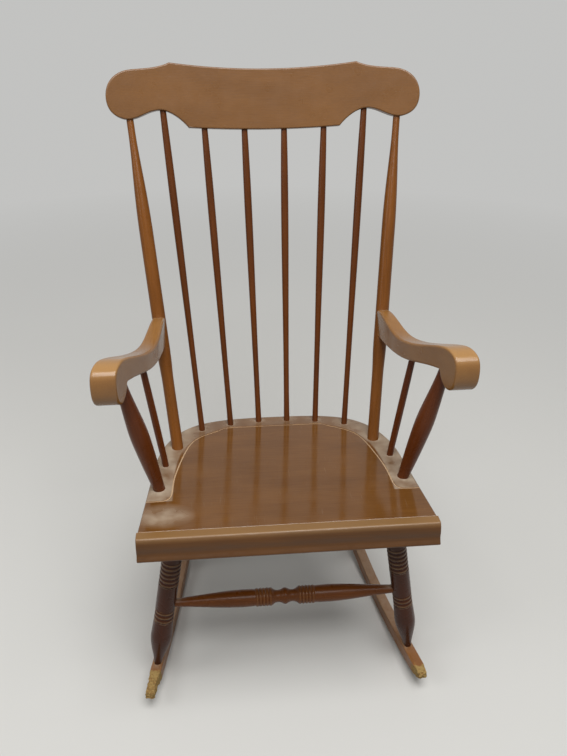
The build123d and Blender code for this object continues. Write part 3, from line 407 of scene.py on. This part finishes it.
def lacquered_wood(
    name, place, body, dark, gloss, wear=0.3, pith=(0.05, 0.02, 0), tone=0.0, most_dust=0.4,
    ior=1.5,
):
    """Diffuse-porous hardwood, stained and sprayed with lacquer.

    Stain sits darker in the late wood and in blotches, the film is even and satin to glossy by
    its roughness, edges are rubbed through to bare wood, and dust lies in the corners.
    Returns the material and its main sockets, for what only one piece has.
    """
    colours = bpy.context.scene.chair_colours
    sizes = bpy.context.scene.chair_sizes
    material, shader, coordinates = new_material(name, IOR=ior)
    local = add_node(
        material, "Mapping", {"Vector": coordinates, **place}, vector_type="TEXTURE"
    ).outputs[0]
    fibres = streaks(material, local, sizes.fibre_width, sizes.fibre_length)
    blotches = streaks(material, local, sizes.blotch_size, sizes.blotch_size * 3, 2.0)
    rings = growth_rings(material, local, sizes.ring_width, pith, blotches)

    stain = add_node(
        material, "MapRange",
        {"Value": blotches, "From Min": 0.3, "From Max": 0.7, "To Min": tone,
         "To Max": tone + 0.45},
    )
    lined = add_node(
        material, "Math", {0: rings, 1: 0.2, 2: stain.outputs[0]}, operation="MULTIPLY_ADD"
    )
    fibre_share = add_node(
        material, "MapRange",
        {"Value": fibres, "From Min": 0.3, "From Max": 0.7, "To Min": -0.18, "To Max": 0.28},
    )
    darkness = add_node(
        material, "Math", {0: lined.outputs[0], 1: fibre_share.outputs[0]}, use_clamp=True
    )
    stained = blend_colours(material, darkness.outputs[0], body, dark)
    worn = worn_edges(material, local, sizes.edge_wear, wear)
    rubbed_share = add_node(
        material, "Math", {0: worn, 1: wear * 1.6}, operation="MULTIPLY", use_clamp=True
    )
    rubbed = blend_colours(material, rubbed_share.outputs[0], stained, colours.bare)
    dust, facing_up, clumps = settled_dust(material, local, sizes.dust_reach, most_dust)
    dusty = blend_colours(material, dust, rubbed, colours.dust)
    material.node_tree.links.new(dusty, shader.inputs["Base Color"])

    smudges = add_node(
        material, "TexNoise", {"Vector": local, "Scale": 1 / SMUDGE, "Detail": 3.0}
    )
    film = add_node(
        material, "MapRange",
        {"Value": smudges.outputs["Fac"], "From Min": 0.3, "From Max": 0.7,
         "To Min": gloss - 0.04, "To Max": gloss + 0.08},
    )
    dulled = add_node(
        material, "Math", {0: worn, 1: 0.25, 2: film.outputs[0]}, operation="MULTIPLY_ADD"
    )
    roughness = add_node(
        material, "Math", {0: dust, 1: 0.5, 2: dulled.outputs[0]}, operation="MULTIPLY_ADD",
        use_clamp=True,
    )
    material.node_tree.links.new(roughness.outputs[0], shader.inputs["Roughness"])

    relief = add_node(material, "Math", {0: fibres, 1: rings}, operation="SUBTRACT")
    bump = add_node(
        material, "Bump", {"Height": relief.outputs[0], "Distance": GRAIN_RELIEF, "Strength": 1.0}
    )
    material.node_tree.links.new(bump.outputs[0], shader.inputs["Normal"])
    return {
        "material": material, "shader": shader, "coordinates": coordinates, "colour": dusty,
        "roughness": roughness.outputs[0], "facing_up": facing_up, "clumps": clumps,
    }


def rub_and_highlight_top(wood, axis, start, end, share):
    """Paint the top paler, partly lacquer thinned where hands or legs rub and partly a painted
    highlight, from nothing at start to most at end.
    """
    material = wood["material"]
    axes = add_node(material, "SeparateXYZ", {0: wood["coordinates"]})
    place = add_node(
        material, "MapRange",
        {"Value": axes.outputs[axis], "From Min": start, "From Max": end, "To Max": share},
    )
    amount = add_node(
        material, "Math", {0: place.outputs[0], 1: wood["facing_up"]}, operation="MULTIPLY"
    )
    bare = bpy.context.scene.chair_colours.bare
    rubbed = blend_colours(material, amount.outputs[0], wood["colour"], bare)
    material.node_tree.links.new(rubbed, wood["shader"].inputs["Base Color"])


# ---------------------------------------------------------------- pieces


def centre_line(node, axis):
    """The middle and direction of a turned piece, from the vertices nearest its two ends."""
    low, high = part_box(node)
    margin = 3 * MM
    points = [vertex.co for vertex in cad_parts[node].data.vertices]
    ends = (
        [p for p in points if p[axis] < low[axis] + margin],
        [p for p in points if p[axis] > high[axis] - margin],
    )
    first, last = (sum(end, Vector()) / len(end) for end in ends)
    return (first + last) / 2, last - first


def box_middle(node):
    """The middle of a node's box."""
    low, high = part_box(node)
    return (low + high) / 2


def finish_node(node, material):
    """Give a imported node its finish."""
    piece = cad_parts[node]
    piece.material_slots[0].material = material


def own_tone(node):
    """A small difference in how dark each piece took the stain."""
    return Random(node + " tone").uniform(0, TONE_SPREAD)


def deselect_all():
    """Leave nothing selected or active."""
    for thing in bpy.context.selected_objects:
        thing.select_set(False)
    bpy.context.view_layer.objects.active = None


def select_only(piece):
    """Make a piece the only one selected, and active."""
    deselect_all()
    piece.select_set(True)
    bpy.context.view_layer.objects.active = piece


def apply_modifier(piece, kind, **settings):
    """Add a modifier with its settings and apply it."""
    select_only(piece)
    modifier = piece.modifiers.new(kind.title(), kind)
    for name, value in settings.items():
        setattr(modifier, name, value)
    bpy.ops.object.modifier_apply(modifier=modifier.name)


def working_copy(node, name):
    """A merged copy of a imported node, free to be reshaped."""
    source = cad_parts[node]
    piece = source.copy()
    piece.data = source.data.copy()
    piece.name = name
    piece.parent = None
    for key in list(piece.keys()):
        del piece[key]
    bpy.context.scene.collection.objects.link(piece)
    select_only(piece)
    bpy.ops.object.mode_set(mode="EDIT")
    bpy.ops.mesh.select_all(action="SELECT")
    bpy.ops.mesh.remove_doubles(threshold=0.01 * MM)
    bpy.ops.mesh.customdata_custom_splitnormals_clear()
    bpy.ops.object.mode_set(mode="OBJECT")
    return piece


def tooth_texture(name, kind, size, **settings):
    """A procedural texture for the bites of a chewed toe."""
    texture = bpy.data.textures.new(name, kind)
    texture.noise_scale = size
    for key, value in settings.items():
        setattr(texture, key, value)
    return texture


class CHAIR_OT_rockers(bpy.types.Operator):
    """Remodel the rockers with chewed toes and give them their worn lacquer"""

    bl_idname = "chair.rockers"
    bl_label = "Rockers"

    def execute(self, context):
        sizes = context.scene.chair_sizes
        bites = tooth_texture("bites", "VORONOI", sizes.tooth_mark, distance_metric="DISTANCE")
        splinters = tooth_texture("splinters", "CLOUDS", sizes.tooth_mark / 4, noise_depth=2)
        for side, chewed in (("left", sizes.chewed_left), ("right", sizes.chewed_right)):
            node = "rocker_" + side
            piece = working_copy(node, "worn_rocker_" + side)
            apply_modifier(piece, "REMESH", mode="VOXEL", voxel_size=sizes.voxel)
            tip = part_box(node)[0].y
            toe = piece.vertex_groups.new(name="toe")
            for vertex in piece.data.vertices:
                share = (tip + chewed - vertex.co.y) / TOE_FADE
                if share > 0:
                    toe.add([vertex.index], min(share, 1), "REPLACE")
            apply_modifier(
                piece, "SMOOTH", factor=0.5, iterations=TOE_SMOOTHING, vertex_group="toe"
            )
            for texture, depth in ((bites, sizes.bite_depth), (splinters, sizes.bite_depth / 4)):
                apply_modifier(
                    piece, "DISPLACE", texture=texture, strength=depth, mid_level=1.0,
                    vertex_group="toe", texture_coords="LOCAL",
                )
            select_only(piece)
            bpy.ops.object.shade_smooth_by_angle(angle=radians(50))
            piece.data.materials.clear()
            piece.data.materials.append(self.finish(context, node, tip + chewed))
            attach(piece, "root")
            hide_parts(node)
        return {"FINISHED"}

    def finish(self, context, node, bare_from):
        """Lacquer that is dusty on top and gone on the toe, in front of a distance along Y."""
        colours = context.scene.chair_colours
        low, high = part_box(node)
        lean = (low.x - high.x) if low.x > 0 else (high.x - low.x)
        run = Vector((lean, high.y - low.y, 0))
        # Lacquer that feet and floors have dulled: a soft shine, with edges rubbed pale.
        wood = lacquered_wood(
            "Worn lacquer over stained beech, " + node, grain_place((low + high) / 2, run, node),
            colours.rocker, colours.rocker_dark, gloss=0.38, wear=0.75,
        )
        material, shader = wood["material"], wood["shader"]
        top_dust = add_node(
            material, "MapRange",
            {"Value": wood["clumps"], "From Min": 0.2, "From Max": 0.7, "To Min": 0.15,
             "To Max": 0.4},
        )
        axes = add_node(material, "SeparateXYZ", {0: wood["coordinates"]})
        swept = add_node(
            material, "MapRange",
            {"Value": axes.outputs["Y"], "From Min": SWEPT_UP_TO, "From Max": DUSTY_FROM},
        )
        kept = add_node(
            material, "Math", {0: swept.outputs[0], 1: top_dust.outputs[0]}, operation="MULTIPLY"
        )
        on_top = add_node(
            material, "Math", {0: wood["facing_up"], 1: kept.outputs[0]}, operation="MULTIPLY"
        )
        dusty = blend_colours(material, on_top.outputs[0], wood["colour"], colours.dust)
        ragged = add_node(
            material, "MapRange",
            {"Value": wood["clumps"], "From Min": 0.3, "From Max": 0.7,
             "To Min": -TORN_BORDER_WANDER, "To Max": TORN_BORDER_WANDER},
        )
        border = add_node(material, "Math", {0: axes.outputs["Y"], 1: ragged.outputs[0]})
        torn = add_node(
            material, "MapRange",
            {"Value": border.outputs[0], "From Min": bare_from + TORN_BORDER_BLUR,
             "From Max": bare_from - TORN_BORDER_BLUR},
        )
        # Torn, unfinished wood: matt and pale, darker in its hollows, and with old stain in mottled
        # spots.
        shade = add_node(
            material, "AmbientOcclusion", {"Distance": TOOTH_HOLLOW}, samples=8, only_local=True
        )
        darker_in_hollows = add_node(
            material, "MapRange",
            {"Value": shade.outputs["AO"], "From Min": 0.95, "From Max": 0.5},
        )
        mottle = add_node(
            material, "TexNoise",
            {"Vector": wood["coordinates"], "Scale": 1 / TOE_MOTTLE, "Detail": 4.0},
        )
        stained = add_node(
            material, "MapRange",
            {"Value": mottle.outputs["Fac"], "From Min": 0.5, "From Max": 0.68, "To Max": 0.7},
        )
        darker = add_node(
            material, "Math", {0: darker_in_hollows.outputs[0], 1: stained.outputs[0]}, operation="MAXIMUM"
        )
        tooth_marks = blend_colours(
            material, darker.outputs[0], colours.chewed, colours.chewed_dark
        )
        final = blend_colours(material, torn.outputs[0], dusty, tooth_marks)
        material.node_tree.links.new(final, shader.inputs["Base Color"])
        rough = add_node(
            material, "Math", {0: torn.outputs[0], 1: 0.5, 2: wood["roughness"]},
            operation="MULTIPLY_ADD", use_clamp=True,
        )
        rougher = add_node(
            material, "Math", {0: on_top.outputs[0], 1: 0.3, 2: rough.outputs[0]},
            operation="MULTIPLY_ADD", use_clamp=True,
        )
        material.node_tree.links.new(rougher.outputs[0], shader.inputs["Roughness"])
        return material


class CHAIR_OT_turned_pieces(bpy.types.Operator):
    """Finish the legs, stretchers, arm posts and short spindles"""

    bl_idname = "chair.turned_pieces"
    bl_label = "Turned pieces"

    def execute(self, context):
        colours = context.scene.chair_colours
        for side in SIDES:
            self.finish(colours, "arm_post_" + side, UPRIGHT, "arm_post")
            self.finish(colours, "arm_spindle_" + side, UPRIGHT, "arm_post")
            # The legs take the leg colours, which are darkened by painted shade from under the seat.
            self.finish(colours, "rear_leg_" + side, UPRIGHT, "leg")
            wood, middle, direction = self.finish(colours, "front_leg_" + side, UPRIGHT, "leg")
            foot = middle - direction / 2
            shoulder = foot + direction.normalized() * FOOT_TENON
            from_shoulder = add_node(
                wood["material"], "VectorMath", {0: wood["coordinates"], 1: shoulder},
                operation="SUBTRACT",
            )
            along = add_node(
                wood["material"], "VectorMath",
                {0: from_shoulder.outputs[0], 1: direction.normalized()}, operation="DOT_PRODUCT",
            )
            self.wear_and_highlight_rings(colours, wood, along.outputs["Value"], LEG_RINGS, 0.24)
        self.finish(colours, "rear_stretcher", CROSSWISE, "stretcher")
        wood = self.finish(colours, "front_stretcher", CROSSWISE, "stretcher")[0]
        axes = add_node(wood["material"], "SeparateXYZ", {0: wood["coordinates"]})
        outward = add_node(wood["material"], "Math", {0: axes.outputs["X"]}, operation="ABSOLUTE")
        self.wear_and_highlight_rings(colours, wood, outward.outputs[0], STRETCHER_RINGS, 0.12)
        return {"FINISHED"}

    def finish(self, colours, node, axis, tone):
        """Give a turned piece its lacquer. Returns its wood, its middle and its direction."""
        middle, direction = centre_line(node, axis)
        # A dark stain under satin lacquer: deep brown, with a soft streak of light down each side.
        wood = lacquered_wood(
            "Satin lacquer over dark stained beech, " + node,
            grain_place(middle, direction, node),
            getattr(colours, tone), getattr(colours, tone + "_dark"), gloss=0.26, wear=0.2,
            tone=own_tone(node), pith=(0.03, 0.02, 0), ior=DARK_PIECES_IOR,
        )
        finish_node(node, wood["material"])
        return wood, middle, direction

    def wear_and_highlight_rings(self, colours, wood, along, groups, share):
        """Paint pale lines along the crests of the rings: partly lacquer rubbed thin, partly a
        painted highlight.
        """
        material = wood["material"]
        crests = ring_crests(material, along, groups)
        thin = add_node(
            material, "MapRange",
            {"Value": wood["clumps"], "From Min": 0.25, "From Max": 0.6, "To Min": share / 3,
             "To Max": share},
        )
        rubbed = add_node(
            material, "Math", {0: crests, 1: thin.outputs[0]}, operation="MULTIPLY"
        )
        # Pale crest lines: rubbed lacquer and painted highlight together.
        lined = blend_colours(material, rubbed.outputs[0], wood["colour"], colours.bare)
        material.node_tree.links.new(lined, wood["shader"].inputs["Base Color"])


class CHAIR_OT_back(bpy.types.Operator):
    """Finish the back posts, the six spindles and the crest rail"""

    bl_idname = "chair.back"
    bl_label = "Back"

    def execute(self, context):
        colours = context.scene.chair_colours
        # Satin lacquer over red-brown stain: the round pieces shine softly down their length.
        for kind in ("back_post",) + BACK_SPINDLES:
            tone = "post" if kind == "back_post" else "spindle"
            for side in SIDES:
                node = kind + "_" + side
                middle, direction = centre_line(node, UPRIGHT)
                wood = lacquered_wood(
                    "Satin lacquer over stained beech, " + node,
                    grain_place(middle, direction, node),
                    getattr(colours, tone), getattr(colours, tone + "_dark"), gloss=0.26,
                    wear=0.3, tone=own_tone(node), pith=(0.02, 0.03, 0), ior=DARK_PIECES_IOR,
                )
                finish_node(node, wood["material"])
        # Golden stain under a satin film: an even tone with a soft shine and faint figure.
        wood = lacquered_wood(
            "Satin lacquer over golden stained maple, crest rail",
            grain_place(box_middle("crest_rail"), ALONG_X, "crest_rail"),
            colours.crest, colours.crest_dark, gloss=0.3, wear=0.35, pith=(0.03, 0.11, 0),
        )
        finish_node("crest_rail", wood["material"])
        return {"FINISHED"}


class CHAIR_OT_arms(bpy.types.Operator):
    """Finish the arms"""

    bl_idname = "chair.arms"
    bl_label = "Arms"

    def execute(self, context):
        colours = context.scene.chair_colours
        for side in SIDES:
            node = "arm_" + side
            # The same golden maple, a little glossier, and paler on top where hands polish it and
            # where a highlight is painted.
            wood = lacquered_wood(
                "Satin lacquer over golden stained maple, " + node,
                grain_place(box_middle(node), ALONG_Y, node),
                colours.arm, colours.arm_dark, gloss=0.2, wear=0.45, pith=(0.06, 0.03, 0),
            )
            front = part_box(node)[0].y
            # A paler scroll top: partly rubbed lacquer, partly a painted highlight.
            rub_and_highlight_top(wood, "Y", front + SCROLL_RUB_AND_HIGHLIGHT_START, front + SCROLL_RUB_AND_HIGHLIGHT_FULL, 0.4)
            finish_node(node, wood["material"])
        return {"FINISHED"}


class CHAIR_OT_seat(bpy.types.Operator):
    """Finish the seat plank and the roll along its front"""

    bl_idname = "chair.seat"
    bl_label = "Seat"

    def execute(self, context):
        colours = context.scene.chair_colours
        # An olive brown strip under a duller film, so its rounded front catches a wide pale gleam.
        roll = lacquered_wood(
            "Satin lacquer over olive stained maple, front roll",
            grain_place(box_middle("seat_front_roll"), ALONG_X, "front roll"),
            colours.roll, colours.roll_dark, gloss=0.36, wear=0.15, pith=(0.02, 0.06, 0),
        )
        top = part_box("seat_front_roll")[1].z
        # A paler band below the roll's top: partly rubbed lacquer, partly a painted highlight.
        rub_and_highlight_top(roll, "Z", top - ROLL_RUB_AND_HIGHLIGHT_START, top - ROLL_RUB_AND_HIGHLIGHT_FULL, 0.3)
        finish_node("seat_front_roll", roll["material"])

        # A thick gloss film: it mirrors the back's spindles and darkens the red-brown stain.
        wood = lacquered_wood(
            "Gloss lacquer over red-brown stained maple, seat",
            grain_place(box_middle("seat_plank"), ALONG_X, "seat"),
            colours.seat, colours.seat_dark, gloss=0.08, wear=0.25, pith=(0.12, 0.05, 0),
            most_dust=0.9,
        )
        material, shader = wood["material"], wood["shader"]
        on_plane = add_node(
            material, "Mapping",
            {"Vector": wood["coordinates"], "Location": SEAT_FRONT_EDGE,
             "Rotation": (-SEAT_TILT, 0, 0)},
            vector_type="TEXTURE",
        )
        rim = self.rim(material, on_plane.outputs[0])
        haze = self.haze(material, on_plane.outputs[0])
        where = strongest(material, (rim, haze))
        drifts = add_node(
            material, "TexNoise",
            {"Vector": on_plane.outputs[0], "Scale": 1 / DUST_DRIFT, "Detail": 2.0},
        )
        film = add_node(
            material, "MapRange",
            {"Value": drifts.outputs["Fac"], "From Min": 0.3, "From Max": 0.7, "To Min": 0.2,
             "To Max": 0.8},
        )
        rim_dust = add_node(
            material, "Math", {0: where, 1: film.outputs[0]}, operation="MULTIPLY"
        )
        lying = add_node(
            material, "Math", {0: rim_dust.outputs[0], 1: wood["facing_up"]}, operation="MULTIPLY"
        )
        dusty = blend_colours(material, lying.outputs[0], wood["colour"], colours.dust)
        groove = self.groove(material, on_plane.outputs[0])
        lined = blend_colours(material, groove, dusty, colours.groove)
        scratches = self.scratches(material, on_plane.outputs[0])
        scratched = blend_colours(material, scratches, lined, colours.dust)
        material.node_tree.links.new(scratched, shader.inputs["Base Color"])
        dull = add_node(
            material, "Math", {0: lying.outputs[0], 1: 0.7, 2: wood["roughness"]},
            operation="MULTIPLY_ADD", use_clamp=True,
        )
        material.node_tree.links.new(dull.outputs[0], shader.inputs["Roughness"])
        finish_node("seat_plank", material)
        return {"FINISHED"}

    def rim(self, material, plane):
        """The border outside the groove's superellipse, dustier at the sides of the seat."""
        axes = add_node(material, "SeparateXYZ", {0: plane})
        side = add_node(material, "Math", {0: axes.outputs["X"]}, operation="ABSOLUTE")
        across = add_node(
            material, "Math", {0: side.outputs[0], 1: GROOVE_HALF_WIDTH}, operation="DIVIDE"
        )
        back = add_node(
            material, "MapRange",
            {"Value": axes.outputs["Y"], "From Min": GROOVE_FRONT,
             "From Max": GROOVE_FRONT + GROOVE_RUN},
            clamp=False,
        )
        behind = add_node(material, "Math", {0: back.outputs[0], 1: 0.0}, operation="MAXIMUM")
        across_power = add_node(
            material, "Math", {0: across.outputs[0], 1: GROOVE_SQUARENESS}, operation="POWER"
        )
        behind_power = add_node(
            material, "Math", {0: behind.outputs[0], 1: GROOVE_SQUARENESS}, operation="POWER"
        )
        reach = add_node(
            material, "Math", {0: across_power.outputs[0], 1: behind_power.outputs[0]}
        )
        outside = add_node(
            material, "MapRange", {"Value": reach.outputs[0], "From Min": 1.0, "From Max": 1.06}
        )
        past_front = add_node(
            material, "MapRange",
            {"Value": axes.outputs["Y"], "From Min": GROOVE_FRONT - 2 * MM,
             "From Max": GROOVE_FRONT},
        )
        sides = add_node(
            material, "MapRange",
            {"Value": side.outputs[0], "From Min": RIM_DUST_START, "From Max": RIM_DUST_FULL,
             "To Min": 0.2},
        )
        border = add_node(
            material, "Math", {0: outside.outputs[0], 1: past_front.outputs[0]},
            operation="MULTIPLY",
        )
        both = add_node(
            material, "Math", {0: border.outputs[0], 1: sides.outputs[0]}, operation="MULTIPLY"
        )
        return both.outputs[0]

    def haze(self, material, plane):
        """A pale patch near the front corner on the sitter's right."""
        from_middle = add_node(
            material, "Mapping",
            {"Vector": plane, "Location": HAZE_MIDDLE, "Scale": HAZE_REACH},
            vector_type="TEXTURE",
        )
        distance = add_node(
            material, "VectorMath", {0: from_middle.outputs[0]}, operation="LENGTH"
        )
        patch = add_node(
            material, "MapRange",
            {"Value": distance.outputs["Value"], "From Min": 1.1, "From Max": 0.35,
             "To Max": 0.9},
        )
        return patch.outputs[0]

    def groove(self, material, plane):
        """The cut of the groove, where the wood is bare: under the top and close to a wall."""
        axes = add_node(material, "SeparateXYZ", {0: plane})
        below = add_node(
            material, "MapRange",
            {"Value": axes.outputs["Z"], "From Min": GROOVE_CUT_START,
             "From Max": GROOVE_CUT_FULL, "To Max": 0.85},
        )
        shade = add_node(
            material, "AmbientOcclusion", {"Distance": GROOVE_WALL_REACH}, samples=8,
            only_local=True,
        )
        walled = add_node(
            material, "MapRange",
            {"Value": shade.outputs["AO"], "From Min": 0.98, "From Max": 0.85},
        )
        both = add_node(
            material, "Math", {0: below.outputs[0], 1: walled.outputs[0]}, operation="MULTIPLY"
        )
        return both.outputs[0]

    def scratches(self, material, plane):
        """Fine pale scratches in three directions, in a few patches of the sitting face."""
        lines = []
        for number, angle in enumerate(SCRATCH_ANGLES):
            turned = add_node(
                material, "Mapping",
                {"Vector": plane, "Location": (number, number * 2, 0),
                 "Rotation": (0, 0, radians(angle)),
                 "Scale": (1 / SCRATCH_WIDTH, 1 / SCRATCH_LENGTH, 1)},
            )
            noise = add_node(
                material, "TexNoise", {"Vector": turned.outputs[0], "Scale": 1.0, "Detail": 0.0}
            )
            line = add_node(
                material, "MapRange",
                {"Value": noise.outputs["Fac"], "From Min": 0.79, "From Max": 0.84,
                 "To Max": 0.2},
            )
            lines.append(line.outputs[0])
        patches = add_node(
            material, "TexNoise", {"Vector": plane, "Scale": 1 / SCRATCHED_PATCH, "Detail": 1.0}
        )
        shown = add_node(
            material, "MapRange",
            {"Value": patches.outputs["Fac"], "From Min": 0.5, "From Max": 0.62},
        )
        both = add_node(
            material, "Math", {0: strongest(material, lines), 1: shown.outputs[0]},
            operation="MULTIPLY",
        )
        return both.outputs[0]


class CHAIR_OT_fasteners(bpy.types.Operator):
    """Finish the arm screws and the plugs over them"""

    bl_idname = "chair.fasteners"
    bl_label = "Screws and plugs"

    def execute(self, context):
        colours = context.scene.chair_colours
        # Plugs cut across the grain and stained with the posts, so they hardly stand out.
        plugs = lacquered_wood(
            "Satin lacquer over stained birch plugs",
            grain_place(box_middle("arm_screw_plugs"), ALONG_X, "plugs"),
            colours.post, colours.post_dark, gloss=0.3, wear=0.4,
        )
        finish_node("arm_screw_plugs", plugs["material"])
        # Zinc-plated steel: a bright metal, clouded in small spots by a dull bloom.
        material, shader, coordinates = new_material("Zinc-plated steel screws", Metallic=1.0)
        bloom = add_node(
            material, "TexNoise", {"Vector": coordinates, "Scale": 1 / STEEL_BLOOM, "Detail": 4.0}
        )
        bloomed = [channel * 0.7 for channel in colours.steel[:3]] + [1]
        tone = blend_colours(material, bloom.outputs["Fac"], colours.steel, bloomed)
        material.node_tree.links.new(tone, shader.inputs["Base Color"])
        roughness = add_node(
            material, "MapRange", {"Value": bloom.outputs["Fac"], "To Min": 0.2, "To Max": 0.5}
        )
        material.node_tree.links.new(roughness.outputs[0], shader.inputs["Roughness"])
        finish_node("arm_screws", material)
        return {"FINISHED"}


class CHAIR_OT_stage(bpy.types.Operator):
    """Lay the floor, hang the lamps and set up the camera"""

    bl_idname = "chair.stage"
    bl_label = "Stage"

    def execute(self, context):
        scene = context.scene
        stage = scene.chair_stage
        deselect_all()
        bpy.ops.mesh.primitive_plane_add(size=FLOOR_SIZE, location=(0, 0, 0))
        floor = context.active_object
        floor.name = "floor"
        # Matt paint: no mirror image, only a broad sheen. It is pale to the eye and in
        # reflections, and throws back little light.
        paint, shader, coordinates = new_material("Matt floor paint", Roughness=0.7)
        seen = self.seen_rays(paint)
        tone = blend_colours(paint, seen, scene.chair_colours.bounce, scene.chair_colours.floor)
        paint.node_tree.links.new(tone, shader.inputs["Base Color"])
        # Far from the chair it takes the backdrop's own brightness, so that no horizon shows.
        reach = add_node(paint, "VectorMath", {0: coordinates}, operation="LENGTH")
        far = add_node(
            paint, "MapRange",
            {"Value": reach.outputs["Value"], "From Min": FLOOR_FADE_START,
             "From Max": FLOOR_FADE_END},
        )
        fade = add_node(paint, "Math", {0: far.outputs[0], 1: seen}, operation="MULTIPLY")
        glow = add_node(
            paint, "Emission", {"Color": linear(BACKDROP_WHITE), "Strength": stage.backdrop}
        )
        faded = add_node(
            paint, "MixShader", {0: fade.outputs[0], 1: shader.outputs[0], 2: glow.outputs[0]}
        )
        output = paint.node_tree.nodes["Material Output"]
        paint.node_tree.links.new(faded.outputs[0], output.inputs["Surface"])
        floor.data.materials.append(paint)

        for name, place, aim, share, size in LAMPS:
            bpy.ops.object.light_add(type="AREA", location=place)
            lamp = context.active_object
            lamp.name = name
            lamp.data.energy = stage.overhead_power * share
            lamp.data.size = size
            beam = Vector(aim) - Vector(place)
            lamp.rotation_euler = beam.to_track_quat("-Z", "Y").to_euler()

        world = bpy.data.worlds.new("Even studio light")
        world.use_nodes = True
        scene.world = world
        background = world.node_tree.nodes["Background"]
        background.inputs["Color"].default_value = linear(BACKDROP_WHITE)
        strength = add_node(
            world, "MapRange",
            {"Value": self.seen_rays(world), "To Min": stage.sky, "To Max": stage.backdrop},
        )
        world.node_tree.links.new(strength.outputs[0], background.inputs["Strength"])

        camera = bpy.data.objects.new("camera", bpy.data.cameras.new("camera"))
        scene.collection.objects.link(camera)
        camera.data.lens = stage.lens
        turn = (
            Matrix.Rotation(stage.yaw, 4, "Z")
            @ Matrix.Rotation(stage.pitch, 4, "X")
            @ Matrix.Rotation(stage.roll, 4, "Y")
            @ Matrix.Rotation(pi / 2, 4, "X")
        )
        camera.matrix_world = Matrix.Translation(stage.camera_place) @ turn
        scene.camera = camera
        scene.view_settings.view_transform = "Standard"
        return {"FINISHED"}

    def seen_rays(self, owner):
        """1 for what the camera sees, straight or mirrored, and 0 for light on its way."""
        path = add_node(owner, "LightPath")
        mirrored = add_node(
            owner, "Math",
            {0: path.outputs["Is Glossy Ray"], 1: path.outputs["Is Transmission Ray"]},
            operation="MAXIMUM",
        )
        seen = add_node(
            owner, "Math", {0: path.outputs["Is Camera Ray"], 1: mirrored.outputs[0]},
            operation="MAXIMUM",
        )
        return seen.outputs[0]


# ---------------------------------------------------------------- the add-on

STEPS = (
    CHAIR_OT_stage,
    CHAIR_OT_rockers,
    CHAIR_OT_turned_pieces,
    CHAIR_OT_seat,
    CHAIR_OT_back,
    CHAIR_OT_arms,
    CHAIR_OT_fasteners,
)
SETTINGS = {
    "chair_colours": ChairColours,
    "chair_sizes": ChairSizes,
    "chair_stage": ChairStage,
}


class CHAIR_PT_panel(bpy.types.Panel):
    """The chair's steps and settings"""

    bl_label = "Rocking Chair"
    bl_idname = "CHAIR_PT_panel"
    bl_space_type = "VIEW_3D"
    bl_region_type = "UI"
    bl_category = "Rocking Chair"

    def draw(self, context):
        for step in STEPS:
            self.layout.operator(step.bl_idname)
        for name, group in SETTINGS.items():
            box = self.layout.box()
            for label in group.__annotations__:
                box.prop(getattr(context.scene, name), label)


def register():
    """Register the settings, the steps and the panel."""
    for group in SETTINGS.values():
        bpy.utils.register_class(group)
    for step in STEPS + (CHAIR_PT_panel,):
        bpy.utils.register_class(step)
    for name, group in SETTINGS.items():
        setattr(bpy.types.Scene, name, PointerProperty(type=group))


def unregister():
    """Undo what register did."""
    for name in SETTINGS:
        delattr(bpy.types.Scene, name)
    for thing in (CHAIR_PT_panel,) + STEPS[::-1]:
        bpy.utils.unregister_class(thing)
    for group in SETTINGS.values():
        bpy.utils.unregister_class(group)


def main():
    """Finish every piece and set the stage."""
    register()
    bpy.ops.chair.stage()
    bpy.ops.chair.rockers()
    bpy.ops.chair.turned_pieces()
    bpy.ops.chair.seat()
    bpy.ops.chair.back()
    bpy.ops.chair.arms()
    bpy.ops.chair.fasteners()


if __name__ == "__main__":
    main()
